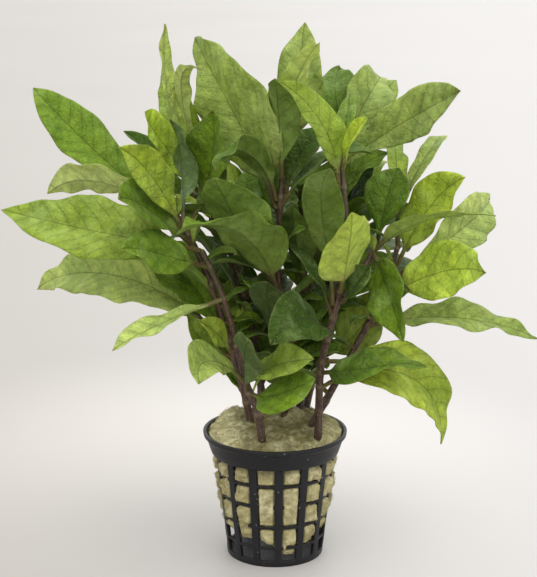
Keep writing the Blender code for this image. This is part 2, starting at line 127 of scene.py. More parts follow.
LEAF_PETIOLE_SHARE = 0.14
LEAF_PETIOLE_HALF_WIDTH = 0.85 * MM
LEAF_TIP_HALF_WIDTH = 0.12 * MM
LEAF_FULLNESS = 0.86
LEAF_STANDOFF = 2.0 * MM
LEAF_ROOTED = 0.6 * MM
LEAF_ROWS = 48
LEAF_COLUMNS = 22
LEAF_HALF_THICKNESS = 0.14 * MM
LEAF_RIB_HEIGHT = 0.45 * MM
LEAF_RIB_HALF_WIDTH = 0.6 * MM
LEAF_FOLD = math.radians(24)
LEAF_MARGIN_FOLD = math.radians(4)
# Rows of a leaf's foot between its hidden root and the start of its petiole
LEAF_FOOT_SHARES = (0.0, 0.35, 0.7)
# Sizes in millimetres of the lumps and of the broad swells of a blade
LEAF_CRUMPLES = 5.5
LEAF_SWELLS = 17
LEAF_ATTRIBUTES = ("run", "out", "edge", "under", "tint", "petiole", "dry")
# Rows, first share of the length and shares of the half width of the coarse sheet for a blade
SHEET_ROWS = 14
SHEET_START = 0.16
SHEET_SHARES = (-1, -0.5, 0, 0.5, 1)
VEIN_SPACING = 6.5
VEIN_SLANT = 0.75
VEIN_BEND = 0.035
# The side veins of the blade's two halves leave the midrib at different places
VEIN_STAGGER = 0.22 * VEIN_SPACING

# Inner leaves stand in crossed pairs up the stems, wherever one of these sizes and turns has room
INNER_STEMS = ("back_left", "centre", "centre_back", "back_right", "back", "left", "right")
INNER_LOWEST = 64.0
INNER_STEP = 5.5
INNER_BELOW_TOP = 10.0
INNER_TURNS = (0, 25, -25, 50, -50, 75, -75)
INNER_LENGTHS = (50, 42, 35, 28, 21, 15)
INNER_REACH = Vector((58.0, 58.0, 160.0)) * MM
INNER_FRONT = -8.0 * MM
INNER_CLEARANCE = 0.6 * MM
INNER_STEM_CLEARANCE = 0.4 * MM
INNER_WAIST = 29.0 * MM
INNER_WAIST_TOP = 92.0 * MM
# Openings that no inner leaf may cross, as the photograph's view shows them: x, height and radius
INNER_OPENINGS = ((-10.5, 111.3, 2.0), (5.8, 138.6, 2.0))
INNER_TONES = {"back_left": "deep", "centre": "deep", "centre_back": "green", "back_right": "green",
               "back": "mid", "left": "green", "right": "deep"}
INNER_LEAF = {"twist": 0, "belly": 0.47, "waves": 1.0, "wrinkles": 0.35, "curl": 12,
              "rows": 34, "columns": 14}
SHOOT_LENGTHS = (11, 8, 9, 6)
SHOOT_LEAF = {"rise": 55, "droop": -10, "swing": 0, "roll": 0, "twist": 0, "belly": 0.5,
              "waves": 0.3, "wrinkles": 0.15, "curl": 25, "rows": 20, "columns": 10}

# Another belly and a widening for one side of a blade, for leaves with two unlike sides
LEAF_FLARES = {
    ("front_right", 8): (0.2, 1.0), ("centre", 4): (0.34, 1.5), ("centre_back", 2): (0.68, 1.15),
}

# Points of each stem in millimetres, from where it leaves the rockwool to its top
STEMS = {
    "front_left": ((-5, -20, 52), (-6.5, -19, 62), (-10.5, -18, 72), (-13.5, -15, 84),
                   (-19, -12, 103), (-27, -8, 121)),
    "left": ((-9, -4, 52), (-12, -4, 66), (-17.5, -4, 85), (-22, -2, 100), (-29, 2, 117),
             (-36.5, 6, 131)),
    "back_left": ((-4, 8, 52), (-7, 10, 74), (-11, 14, 94), (-17, 19, 113), (-23.5, 23, 128),
                  (-29, 26, 140)),
    "centre": ((3.5, 3, 52), (5.5, 3, 76), (3, 2, 95), (1, 1, 109), (1.5, 0, 130), (3, 2, 156)),
    "centre_back": ((9.5, 10, 52), (10.5, 12, 77), (11.5, 15, 101), (10.5, 17, 119), (10, 19, 136),
                    (9.5, 20, 157)),
    "front_right": ((16, -15.5, 52), (16.5, -15.5, 73), (18, -14, 84), (22.5, -12, 101),
                    (26, -11, 125), (24, -6, 154)),
    "right": ((14, -4, 52), (23, -2, 68), (30, 2, 80), (35, 4, 89), (41, 6, 100), (46.5, 9, 119)),
    "back_right": ((12, 14, 52), (17, 20, 75), (21.5, 26, 97), (25, 30, 118), (27.5, 34, 145)),
    "back": ((3, 19, 52), (2, 24, 77), (-1, 29, 107), (-5, 33, 134)),
}
BRANCHES = {"branch_right": ((25, -9.8, 103), (28.5, -7, 107), (34, -3, 114.5), (38.5, 2, 122))}

# Skin colours of the leaves, as display values: upper side, its darker patches, and underside
TONES = {
    "pearl": ((204, 222, 92), (162, 184, 70), (204, 220, 108)),
    "gold": ((178, 194, 68), (140, 160, 52), (180, 196, 88)),
    "pale": ((186, 200, 116), (148, 166, 90), (188, 200, 124)),
    "lime": ((160, 180, 50), (128, 148, 36), (164, 184, 76)),
    "sage": ((158, 174, 90), (124, 144, 68), (164, 176, 100)),
    "bright": ((142, 162, 58), (112, 134, 44), (148, 168, 80)),
    "mid": ((120, 142, 60), (94, 116, 44), (128, 148, 76)),
    "grass": ((114, 140, 40), (88, 116, 28), (124, 148, 66)),
    "dull": ((98, 126, 54), (76, 104, 40), (112, 134, 72)),
    "green": ((110, 138, 26), (86, 114, 18), (120, 144, 60)),
    "deep": ((94, 122, 28), (72, 100, 20), (108, 130, 56)),
    "shade": ((64, 88, 18), (48, 72, 12), (80, 100, 46)),
    "wet": ((78, 110, 50), (60, 90, 36), (96, 120, 66)),
}

# Each leaf grows at a height in millimetres on its stem's line and points along a heading, in degrees
# from +X. It starts with a rise above level, and from foot to tip it loses its droop and turns by its
# swing. Its blade is a length long and a width wide in millimetres, rolled about its midrib and
# twisted from foot to tip in degrees, and widest at the share of its length that is its belly.
# Its looks are a tone, the height of its margin's waves and of its wrinkles in millimetres, and the
# curl of its tip in degrees.
LEAF_FIELDS = ("tone", "waves", "wrinkles", "curl",
               "height", "heading", "rise", "droop", "swing", "length", "width", "roll", "twist", "belly")
# The first value is True where a small leaf and its stem are one solid, and the fields follow it
HEIGHT_COLUMN = 1 + LEAF_FIELDS.index("height")
LEAVES = {
    "front_left": (
        # front, low, across the pot
        (True, "green", 0.8, 0.3, 10, 69, -60, 0, -40, 50, 32, 22, -40, -5, 0.5),
        # front, low, three-cornered
        (True, "shade", 0.8, 0.3, 10, 70, -105, 60, 20, 30, 33, 17, 60, -10, 0.5),
        # left, low, rounded
        (True, "sage", 0.8, 0.3, 0, 73, -170, 55, 85, 95, 39, 17, 40, -5, 0.5),
        # front, low, its edge curled
        (True, "bright", 1, 0.3, 0, 73, -50, 40, 30, 20, 35, 15, -40, -10, 0.5),
        # left, low, narrow and twisted
        (True, "pale", 0.8, 0.3, 5, 103, -160, -15, 5, 15, 46, 12, 10, 5, 0.6),
        # left, bright
        (False, "grass", 1, 0.3, 10, 115, -160, 20, 5, 35, 38, 18, 65, -5, 0.45),
        # far left, the longest
        (False, "bright", 1.2, 0.35, 0, 121, -175, 10, 0, -25, 75, 27, 50, -5, 0.4),
    ),
    "left": (
        # inner left, low and dark
        (True, "bright", 0.6, 0.25, 0, 79, -175, 15, -65, 20, 27, 9, 60, 0, 0.5),
        # inner left, low, upright
        (True, "gold", 0.5, 0.25, 0, 81, -130, 55, 25, -10, 22, 11, 70, 0, 0.5),
        # left, underside to the front
        (False, "pale", 1.2, 0.3, 0, 85, -185, 50, 85, -40, 93, 25, 20, 40, 0.4),
        # rear left, half way up
        (False, "lime", 1.2, 0.3, 10, 106, 125, 35, 60, 15, 42, 17, 20, 0, 0.45),
        # inner left, short
        (True, "green", 0.8, 0.3, 10, 120, -150, 45, 30, 45, 49, 22, 40, 20, 0.5),
        # left, arching, folded
        (False, "pale", 1, 0.3, 0, 124, -180, 55, 90, -50, 69, 18, -25, -40, 0.5),
        # left, its edge to the front
        (False, "gold", 0.8, 0.3, 5, 125, -135, 65, 40, 20, 53, 16, 80, 20, 0.5),
        # left of the middle, arching back
        (False, "green", 1.2, 0.35, 0, 127, 5, 60, -35, -5, 45, 27, -25, -20, 0.6),
        # left, top of the stem, curling in
        (True, "wet", 1.5, 0.5, 10, 127, -115, 100, 40, -5, 43, 15, 30, -5, 0.5),
        # upper left, large
        (False, "grass", 1.2, 0.35, 0, 131, 155, 30, -15, 5, 74, 20, 55, -10, 0.6),
    ),
    "back_left": (
        # inner left, low, bright
        (True, "lime", 0.6, 0.25, 0, 76, 140, 45, -45, 15, 31, 13, 85, 15, 0.5),
        # inner left, low
        (True, "deep", 0.6, 0.25, 0, 79, -180, 20, -65, 15, 26, 11, 60, 0, 0.5),
        # rear left, low
        (False, "deep", 1.2, 0.3, 10, 98, 135, 30, 75, 0, 48, 21, 15, 0, 0.45),
        # rear left, high
        (False, "lime", 1.2, 0.35, 10, 120, 115, 50, 75, 10, 48, 21, 10, 0, 0.45),
        # dark, in the shade of the stem's top
        (False, "deep", 0.8, 0.3, 0, 126, 235, 85, 25, -15, 37, 18, 10, -35, 0.5),
        # left, dark, behind others
        (True, "grass", 1, 0.3, 0, 132, 165, 30, 55, -45, 60, 13, 40, 15, 0.45),
        # left, pale, behind others
        (False, "pearl", 0.8, 0.3, 0, 134, 200, 60, 35, 75, 57, 16, 80, 15, 0.5),
        # left, greyish
        (False, "dull", 0.8, 0.3, 0, 136, 170, 45, 10, 50, 39, 12, 20, 40, 0.45),
        # upper left, upright, its edge to the front
        (False, "pale", 0.8, 0.3, 0, 140, 185, 65, -30, -15, 62, 13, 15, 0, 0.5),
        # upper left, thin arc
        (True, "pale", 0.6, 0.25, 20, 140, -140, 85, 75, 85, 71, 7, 35, -5, 0.5),
        # upper left, behind the arc
        (False, "bright", 0.8, 0.3, 0, 142, 140, 95, 85, -30, 52, 17, 70, 5, 0.5),
    ),
    "centre": (
        # middle, low, bluish
        (True, "shade", 0.8, 0.3, 10, 77, -140, 60, 15, 60, 44, 19, 15, 5, 0.5),
        # left of the middle, pale edge
        (False, "green", 1.4, 0.3, 10, 102, -120, 70, 80, -20, 68, 27, -20, 5, 0.4),
        # left of the middle, hanging
        (False, "green", 1, 0.3, 10, 106, -150, 55, 5, 40, 56, 28, -10, 5, 0.5),
        # upper left of the middle, the widest
        (False, "sage", 1.4, 0.4, 0, 135, 155, 70, 40, -45, 79, 29, 85, 0, 0.45),
        # middle, crumpled
        (False, "deep", 1.8, 0.6, 10, 138, -165, 85, 125, 65, 48, 14, -35, -5, 0.45),
        # middle, behind, dark
        (False, "shade", 0.8, 0.3, 0, 139, 25, 80, 50, 30, 31, 13, -15, -5, 0.5),
        # middle, top, curled in
        (False, "deep", 1, 0.35, 10, 146, -95, 80, 20, -10, 41, 17, 25, 0, 0.55),
        # middle, top, folded
        (False, "pale", 0.8, 0.3, 0, 156, -55, 95, 75, -15, 53, 13, -15, 5, 0.5),
    ),
    "centre_back": (
        # middle, narrow, in the shade
        (True, "deep", 0.8, 0.3, 0, 101, -115, 70, 15, 15, 40, 15, 10, 0, 0.5),
        # upper right, large
        (False, "sage", 0.7, 0.35, 0, 136, 5, 45, 25, -75, 83, 20, -65, -10, 0.6),
        # the topmost
        (False, "sage", 1, 0.35, 0, 154, 95, 95, 40, -20, 49, 19, 5, 10, 0.45),
    ),
    "front_right": (
        # right, low, long and hanging
        (False, "gold", 1, 0.35, 0, 71, 0, 35, 130, 45, 69, 25, -35, -40, 0.4),
        # right, low, short
        (True, "deep", 1, 0.3, 0, 76, -50, 15, 0, 25, 30, 18, -35, -5, 0.5),
        # right, low, level
        (True, "grass", 1, 0.35, 0, 80, -10, 5, 10, 0, 38, 15, -15, 5, 0.5),
        # middle, low, rounded and turned down
        (False, "shade", 0.9, 0.35, 0, 88, -115, 65, 110, -20, 41, 22, 35, 15, 0.45),
        # middle, narrow arc
        (True, "shade", 0.5, 0.2, 0, 96, 150, 80, 85, -35, 42, 7, -10, -5, 0.5),
        # middle, upright oval
        (False, "deep", 0.6, 0.3, 0, 101, -140, 90, 60, 70, 68, 16, 10, 0, 0.5),
        # right of the middle, dark, inside
        (False, "shade", 0.8, 0.3, 0, 102, -30, 50, -5, 0, 19, 13, -45, -20, 0.5),
        # right of the middle, pale underside
        (False, "gold", 0.5, 0.25, 0, 106, -75, 65, 30, -20, 47, 22, -20, 0, 0.3),
        # top, arching to the front
        (False, "bright", 0.6, 0.3, 0, 144, -165, 90, 65, 20, 50, 15, 65, 0, 0.4),
        # young, top right, bright
        (True, "gold", 0.4, 0.25, 0, 151, -50, 75, 35, 0, 24, 8, -70, 0, 0.5),
        # young, top right
        (True, "grass", 0.4, 0.25, 0, 156, 70, 80, 60, 15, 29, 8, 5, 10, 0.5),
    ),
    "branch_right": (
        # right, dark, hanging
        (True, "green", 1, 0.4, 0, 118, -75, -25, 35, 10, 40, 21, -70, 0, 0.4),
        # right, narrow arc
        (True, "bright", 0.6, 0.3, 0, 119, -50, 45, 50, 40, 53, 11, 20, -5, 0.3),
        # right, short, folded tip
        (True, "deep", 0.8, 0.3, 10, 120, 45, 75, 15, 0, 31, 19, -10, -10, 0.6),
    ),
    "right": (
        # far right, low, level
        (False, "sage", 1.3, 0.5, 0, 89, -20, 20, 45, 25, 64, 17, -25, 0, 0.4),
        # right, bright
        (False, "pearl", 1.4, 0.35, 0, 99, -10, 40, 40, -60, 50, 23, -65, -15, 0.45),
        # rear right, low
        (False, "shade", 1.2, 0.35, 10, 100, 55, 35, 70, 20, 44, 19, -10, 0, 0.45),
        # far right, pale
        (False, "pale", 1.4, 0.6, 10, 107, -15, 40, 30, 95, 59, 19, -80, 15, 0.6),
        # right, bright, tip curled
        (False, "gold", 1.4, 0.35, 10, 112, -20, 70, 35, -25, 46, 21, -65, -10, 0.5),
        # right, narrow
        (True, "sage", 0.3, 0.3, 0, 118, 10, 100, 125, 85, 71, 8, 10, -15, 0.5),
        # right, narrow, upright
        (False, "bright", 0.8, 0.3, 0, 120, 95, 100, 120, -10, 64, 10, -30, -5, 0.5),
    ),
    "back_right": (
        # right, low, behind others
        (False, "sage", 0.8, 0.3, 0, 72, -10, 25, -55, 5, 37, 23, -55, 0, 0.5),
        # rear, low, right of the middle
        (False, "mid", 1.2, 0.35, 10, 88, 85, 20, 55, -20, 42, 18, 15, 30, 0.45),
        # rear right, half way up
        (False, "shade", 1.2, 0.35, 10, 104, 40, 30, 60, 20, 50, 22, -10, 0, 0.45),
        # right, short and dark
        (True, "wet", 1, 0.5, 10, 126, 30, 65, 0, -25, 28, 23, -30, 10, 0.5),
        # rear right, high
        (False, "bright", 1.2, 0.35, 10, 126, 65, 55, 80, 10, 48, 21, 0, 0, 0.45),
        # upper right, rounded and dark
        (False, "deep", 1.6, 0.7, 0, 142, 135, 100, 85, -65, 50, 19, -15, 20, 0.55),
        # upper right, behind others
        (False, "bright", 0.8, 0.3, 0, 143, 45, 70, 65, 25, 54, 13, -30, 10, 0.5),
        # upper right, crinkled
        (False, "sage", 1.6, 0.6, 0, 145, 15, 100, 110, 75, 52, 19, -60, 25, 0.55),
    ),
    "back": (
        # rear, low
        (False, "green", 1.2, 0.35, 10, 88, 55, 20, 50, 10, 40, 19, 0, 5, 0.45),
        # rear, half way up
        (False, "mid", 1.2, 0.35, 10, 106, 110, 35, 70, 10, 46, 22, 10, 0, 0.45),
        # rear, right of the middle
        (False, "mid", 1.2, 0.35, 10, 118, 30, 45, 70, 15, 50, 21, -25, 5, 0.45),
        # rear, left of the middle
        (False, "bright", 1.2, 0.35, 10, 124, 160, 50, 60, -20, 46, 20, 30, 0, 0.45),
        # rear, top
        (False, "mid", 1.2, 0.35, 10, 128, 95, 65, 60, 20, 48, 22, 0, 0, 0.45),
    ),
}


def srgb(red, green, blue):
    """A linear colour from display values of 0 to 255."""
    linear = []
    for value in (red, green, blue):
        share = value / 255
        linear.append(share / 12.92 if share <= 0.04045 else ((share + 0.055) / 1.055) ** 2.4)
    return (*linear, 1.0)


def smoothstep(low, high, x):
    share = min(1.0, max(0.0, (x - low) / (high - low)))
    return share * share * (3 - 2 * share)


def interpolate(table, x):
    """The value at x on a line through the (x, value) pairs of the table."""
    for (x0, y0), (x1, y1) in zip(table, table[1:]):
        if x <= x1:
            return y0 + (y1 - y0) * (x - x0) / (x1 - x0)
    return table[-1][1]


def ray(turn):
    """The level direction at a turn in radians."""
    return Vector((math.cos(turn), math.sin(turn), 0.0))


class Value:
    """A number or colour that a node puts out. Arithmetic with it adds the nodes that it takes."""

    def __init__(self, tree, socket):
        self.tree = tree
        self.socket = socket

    def __add__(self, other):
        return self.tree.math("ADD", self, other)

    def __sub__(self, other):
        return self.tree.math("SUBTRACT", self, other)

    def __rsub__(self, other):
        return self.tree.math("SUBTRACT", other, self)

    def __mul__(self, other):
        return self.tree.math("MULTIPLY", self, other)

    def __truediv__(self, other):
        return self.tree.math("DIVIDE", self, other)

    def __abs__(self):
        return self.tree.math("ABSOLUTE", self)


class Tree:
    """A material's node tree with short calls, for plain numbers, colours and what its nodes put out."""

    def __init__(self, name):
        self.material = bpy.data.materials.new(name)
        self.material.use_nodes = True
        self.nodes = self.material.node_tree.nodes
        self.links = self.material.node_tree.links
        self.nodes.clear()

    def fill(self, node, inputs):
        for key, value in inputs.items():
            if isinstance(value, Value):
                self.links.new(value.socket, node.inputs[key])
            else:
                node.inputs[key].default_value = value

    def node(self, kind, inputs, output=0, **settings):
        """Add a node, and give back one of its outputs."""
        node = self.nodes.new(kind)
        for key, value in settings.items():
            setattr(node, key, value)
        self.fill(node, inputs)
        return Value(self, node.outputs[output])

    def math(self, operation, a, b=0.0):
        return self.node("ShaderNodeMath", {0: a, 1: b}, operation=operation)

    def mix(self, factor, a, b, blend="MIX"):
        return self.node("ShaderNodeMix", {0: factor, 6: a, 7: b}, 2, data_type="RGBA", blend_type=blend)

    def times(self, colour, other):
        return self.mix(1.0, colour, other, "MULTIPLY")

    def brightened(self, colour, gain):
        return self.times(colour, self.combine(gain, gain, gain))

    def layered(self, colour, *layers):
        """A colour under layers, each of them a mask and a display colour."""
        for mask, over in layers:
            colour = self.mix(mask, colour, srgb(*over))
        return colour

    def steps(self, value, low, high):
        """A smooth step from 0 at low to 1 at high."""
        return self.node("ShaderNodeMapRange", {0: value, 1: low, 2: high}, interpolation_type="SMOOTHSTEP")

    def attribute(self, name):
        return self.node("ShaderNodeAttribute", {}, "Fac", attribute_name=name)

    def place(self):
        return self.node("ShaderNodeTexCoord", {}, "Object")

    def along(self, axis):
        """The place's coordinate along X, Y or Z."""
        return self.node("ShaderNodeSeparateXYZ", {0: self.place()}, axis)

    def stretched(self, vector, scale):
        return self.node("ShaderNodeMapping", {"Vector": vector, "Scale": scale})

    def noise(self, vector, scale, detail=2.0, roughness=0.5):
        inputs = {"Vector": vector, "Scale": scale, "Detail": detail, "Roughness": roughness}
        return self.node("ShaderNodeTexNoise", inputs, "Fac")

    def cells(self, vector, scale, feature="F1", output="Distance"):
        return self.node("ShaderNodeTexVoronoi", {"Vector": vector, "Scale": scale}, output, feature=feature)

    def bump(self, height, strength, distance):
        return self.node("ShaderNodeBump", {"Height": height, "Strength": strength, "Distance": distance})

    def combine(self, x, y, z):
        return self.node("ShaderNodeCombineXYZ", {0: x, 1: y, 2: z})

    def skin(self, **inputs):
        """A shader whose inputs are named with underscores for spaces."""
        named = {key.replace("_", " "): value for key, value in inputs.items()}
        return self.node("ShaderNodeBsdfPrincipled", named)

    def finish(self, shader):
        self.fill(self.nodes.new("ShaderNodeOutputMaterial"), {0: shader})
        return self.material


def leaf_material(tone):
    """Veined leaf skin. The attributes run and out are millimetres along and across the blade."""
    upper, patches, lower = (srgb(*values) for values in TONES[tone])
    tree = Tree("leaf_" + tone)
    run, out, edge, under, tint, petiole, dry = (tree.attribute(name) for name in LEAF_ATTRIBUTES)
    side = abs(out)
    place = tree.place()

    # Side veins leave the midrib at a slant and bend towards the tip
    lag = run - side * VEIN_SLANT - side * side * VEIN_BEND
    lag += tree.math("SIGN", out) * VEIN_STAGGER
    off_vein = abs(tree.math("FRACT", lag / VEIN_SPACING) - 0.5) * 2.0
    side_vein = tree.steps(off_vein, 0.88, 1.0)
    midrib = 1.0 - tree.steps(side, 0.12, 0.42)
    net = tree.cells(tree.combine(lag, side, tint), 0.62, "DISTANCE_TO_EDGE")
    net = 1.0 - tree.steps(net, 0.0, 0.10)
    mottle = tree.noise(place, 160.0, 3.0, 0.6)
    cloud = mottle * 0.6 + tree.noise(place, 42.0, 1.0) * 0.6
    colour = tree.mix(tree.steps(cloud, 0.42, 0.78), upper, patches)
    colour = tree.mix(under, colour, lower)

    # The skin is puffed up between the side veins and finely crumpled
    puff = 1.0 - off_vein * off_vein
    crumple = tree.steps(tree.noise(place, 240.0, 3.0, 0.7), 0.34, 0.66)
    relief = puff * 0.28 + crumple * 0.72
    fine = tree.steps(tree.noise(place, 800.0, 2.0, 0.7), 0.32, 0.68)
    # Painted light and shade: the colour is lighter on the puffs and crumples and darker between them
    colour = tree.brightened(colour, relief * 0.38 + 0.74 + fine * 0.14)
    colour = tree.brightened(colour, tint * 0.20 + 1.04)
    vein = tree.times(colour, (0.62, 0.66, 0.55, 1.0))
    colour = tree.mix(net * 0.18, colour, vein)
    colour = tree.mix(side_vein * 0.22, colour, vein)
    colour = tree.mix(midrib * 0.70, colour, tree.times(colour, (0.50, 0.46, 0.40, 1.0)))

    # Pale margins, rare brown spots, a painted sheen, painted glints, brown petioles and dry tips
    margin = 1.0 - tree.steps(edge, 0.10, 0.55)
    ragged = tree.cells(place, 110.0) + mottle * 0.06
    rare = tree.steps(tree.cells(place, 110.0, output="Color"), 0.80, 0.84)
    spots = rare * (1.0 - tree.steps(ragged, 0.07, 0.11))
    # Painted sheen: whitish patches, strongest on the crumples, stand in for soft highlights
    painted_sheen = tree.steps(tree.noise(place, 75.0, 3.0, 0.6), 0.46, 0.70) * (crumple * 0.65 + 0.35)
    # Painted glints: tiny pale dots stand in for small highlights on the skin
    specks = tree.steps(tree.noise(place, 1500.0, 1.0), 0.62, 0.74)
    colour = tree.layered(
        colour,
        (margin * 0.16, (178, 190, 96)),
        (spots * 0.75, (74, 62, 30)),
        (painted_sheen * 0.30, (176, 200, 130)),
        (specks * 0.16, (216, 224, 170)),
        (petiole * 0.85, (74, 50, 34)),
        (dry * 0.85, (112, 74, 44)),
    )
    height = side_vein * -0.6 + net * -0.30 + tree.noise(place, 900.0, 2.0, 0.6) * 0.25
    height = height + relief * 1.6 + fine * 0.4
    bump = tree.bump(height * (1.0 - under * 1.6), 0.7, 0.45 * MM)
    wet = tone == "wet"
    skin = tree.skin(
        Base_Color=colour, Roughness=mottle * 0.24 + (0.18 if wet else 0.36), Normal=bump,
        Specular_IOR_Level=0.45 if wet else 0.16, Coat_Weight=0.35 if wet else 0.0, Sheen_Weight=0.04,
    )
    glow = tree.times(colour, (1.25, 1.20, 0.55, 1.0))
    through = tree.node("ShaderNodeBsdfTranslucent", {"Color": glow, "Normal": bump})
    share = 0.34 - petiole * 0.34
    return tree.finish(tree.node("ShaderNodeMixShader", {0: share, 1: skin, 2: through}))


def stem_material():
    """Dark brown-purple skin with fine streaks, greener towards the top, and pale swollen joints."""
    tree = Tree("stem_skin")
    place = tree.place()
    streaks = tree.noise(tree.stretched(place, (1.0, 1.0, 0.09)), 1500.0, 3.0, 0.6)
    blotches = tree.noise(place, 260.0, 3.0, 0.6)
    specks = tree.steps(tree.noise(place, 2600.0, 0.0), 0.68, 0.74)
    colour = tree.layered(
        tree.mix(tree.steps(streaks, 0.35, 0.75), srgb(48, 30, 22), srgb(92, 64, 44)),
        (tree.steps(blotches, 0.45, 0.75) * 0.6, (32, 22, 17)),
        (tree.steps(tree.attribute("up"), 0.60, 1.0) * 0.40, (62, 62, 34)),
        (tree.attribute("joint") * tree.steps(blotches, 0.30, 0.60) * 0.55, (124, 112, 80)),
        (specks * 0.30, (190, 170, 140)),
    )
    bump = tree.bump(streaks * 0.7 + blotches * 0.4, 0.5, 0.25 * MM)
    skin = tree.skin(
        Base_Color=colour, Roughness=blotches * 0.25 + 0.38, Normal=bump, Specular_IOR_Level=0.4)
    return tree.finish(skin)


def wool_material(name, light, dark, stain):
    """Matted mineral fibre: khaki, with painted highlights on pale patches and the rim, and painted shade in
    hollows and the middle.
    """
    tree = Tree(name)
    place = tree.place()
    tufts = tree.noise(place, 420.0, 5.0, 0.7)
    fine = tree.noise(tree.stretched(place, (1.0, 1.0, 2.2)), 1900.0, 4.0, 0.75)
    pile = tufts * 0.5 + fine * 0.5
    patches = tree.noise(place, 95.0, 2.0, 0.55)
    clumps = tree.noise(place, 250.0, 3.0, 0.6)
    top = tree.steps(tree.along("Z"), 0.036, 0.046)
    away = abs(tree.along("X") - 0.001)
    # Painted shade: the middle of the top, under the stems and leaves, is darker
    painted_canopy_shade = tree.math("MAXIMUM", top - tree.steps(away, 0.007, 0.019), 0.0)
    colour = tree.layered(
        tree.mix(tree.steps(pile, 0.38, 0.62), srgb(*dark), srgb(*light)),
        (tree.steps(patches, 0.50, 0.66) * 0.5, stain),
        # Painted highlights: pale patches of the fibre
        ((1.0 - tree.steps(patches, 0.38, 0.52)) * 0.5, (240, 234, 192)),
        # Painted shade: the clumps darken the colour where the bump sinks into hollows
        (tree.steps(clumps, 0.47, 0.62) * 0.6, (104, 96, 58)),
        ((1.0 - top) * 0.40, (186, 174, 128)),
        (painted_canopy_shade * 0.45, (106, 96, 54)),
        # Painted highlight: the rim of the top is paler
        (top * tree.steps(away, 0.013, 0.021) * 0.45, (240, 230, 178)),
        (tree.steps(tree.noise(place, 1300.0, 0.0), 0.72, 0.78) * 0.5, (86, 74, 46)),
    )
    bump = tree.bump(pile - clumps, 0.9, 1.0 * MM)
    return tree.finish(tree.skin(Base_Color=colour, Roughness=0.95, Normal=bump, Specular_IOR_Level=0.12))


def pot_material():
    """Black moulded plastic with a satin skin, faint flow marks and pale dust specks."""
    tree = Tree("pot_plastic")
    place = tree.place()
    cloud = tree.noise(place, 120.0, 4.0, 0.6)
    dust = tree.steps(tree.noise(place, 700.0), 0.64, 0.72)
    specks = 1.0 - tree.steps(tree.cells(place, 260.0), 0.05, 0.10)
    colour = tree.layered(
        tree.mix(tree.steps(cloud, 0.40, 0.75), srgb(14, 14, 17), srgb(22, 22, 26)),
        (dust * 0.05, (130, 130, 130)),
        (specks * 0.45, (150, 152, 156)),
    )
    bump = tree.bump(tree.noise(place, 1800.0, 2.0, 0.6) + cloud, 0.25, 0.12 * MM)
    skin = tree.skin(
        Base_Color=colour, Roughness=cloud * 0.24 + 0.36, Normal=bump, Specular_IOR_Level=0.35)
    return tree.finish(skin)


def floor_material():
    """Matt grey, with painted light: paler to the right, and a pool of painted light behind the pot."""
    tree = Tree("floor_paint")
    x, y = tree.along("X"), tree.along("Y")
    # Painted light and shade: darker to the left and paler to the right, across the view
    across = x / tree.math("MAXIMUM", y + 0.62, 0.05)
    light = tree.steps(across + tree.noise(tree.place(), 3.0) * 0.1, -0.20, 0.24)
    colour = tree.mix(light, srgb(152, 148, 142), srgb(172, 169, 167))
    # Painted light: a pool of brighter floor behind the pot lightens the plant's shadow there
    beyond, beside = y - 0.105, x + 0.025
    reach = tree.math("SQRT", beyond * beyond + beside * beside)
    painted_light_pool = 1.0 - tree.steps(reach, 0.03, 0.20)
    return tree.finish(tree.skin(Base_Color=tree.brightened(colour, painted_light_pool * 0.38 + 0.98), Roughness=0.6))


def smooth_line(points):
    """A Catmull-Rom line through points given in millimetres, as closely spaced points in metres."""
    line = [Vector(point) * MM for point in points]
    line = [2 * line[0] - line[1], *line, 2 * line[-1] - line[-2]]
    smooth = []
    for a, b, c, d in zip(line, line[1:], line[2:], line[3:]):
        for step in range(STEM_SMOOTHING):
            t = step / STEM_SMOOTHING
            bend = 2 * a - 5 * b + 4 * c - d
            smooth.append(0.5 * (2 * b + (c - a) * t + bend * t * t + (3 * b - a - 3 * c + d) * t**3))
    return [*smooth, line[-2]]


def point_at_height(line, height):
    """Where a rising line passes a height, or its top."""
    for low, high in zip(line, line[1:]):
        if high.z >= height:
            share = max(0.0, (height - low.z) / (high.z - low.z))
            return low.lerp(high, share)
    return line[-1]


def resampled(line, step):
    """Points of the line exactly one even step apart."""
    lengths = [0.0]
    for a, b in zip(line, line[1:]):
        lengths.append(lengths[-1] + (b - a).length)
    count = max(2, round(lengths[-1] / step))
    points, k = [], 0
    for i in range(count + 1):
        target = lengths[-1] * i / count
        while k < len(line) - 2 and lengths[k + 1] < target:
            k += 1
        points.append(line[k].lerp(line[k + 1], (target - lengths[k]) / (lengths[k + 1] - lengths[k])))
    return points


def joined(parts):
    """One list of points, one of faces and one set of attributes, out of several."""
    points, faces, attributes = [], [], {}
    for part_points, part_faces, part_attributes in parts:
        base = len(points)
        points.extend(part_points)
        faces.extend(tuple(base + corner for corner in face) for face in part_faces)
        for key, values in part_attributes.items():
            attributes.setdefault(key, []).extend(values)
    return points, faces, attributes


def linked(name, data):
    """A new object in the scene for its data."""
    obj = bpy.data.objects.new(name, data)
    bpy.context.scene.collection.objects.link(obj)
    return obj


def smooth_object(name, mesh, material):
    mesh.materials.append(material)
    mesh.shade_smooth()
    return linked(name, mesh)


def mesh_object(name, points, faces, material, attributes=()):
    """A smooth-shaded object of points and faces, with float attributes on its points."""
    mesh = bpy.data.meshes.new(name)
    mesh.from_pydata(points, [], faces)
    for key, values in dict(attributes).items():
        layer = mesh.attributes.new(key, "FLOAT", "POINT")
        layer.data.foreach_set("value", np.asarray(values, np.float32))
    return smooth_object(name, mesh, material)


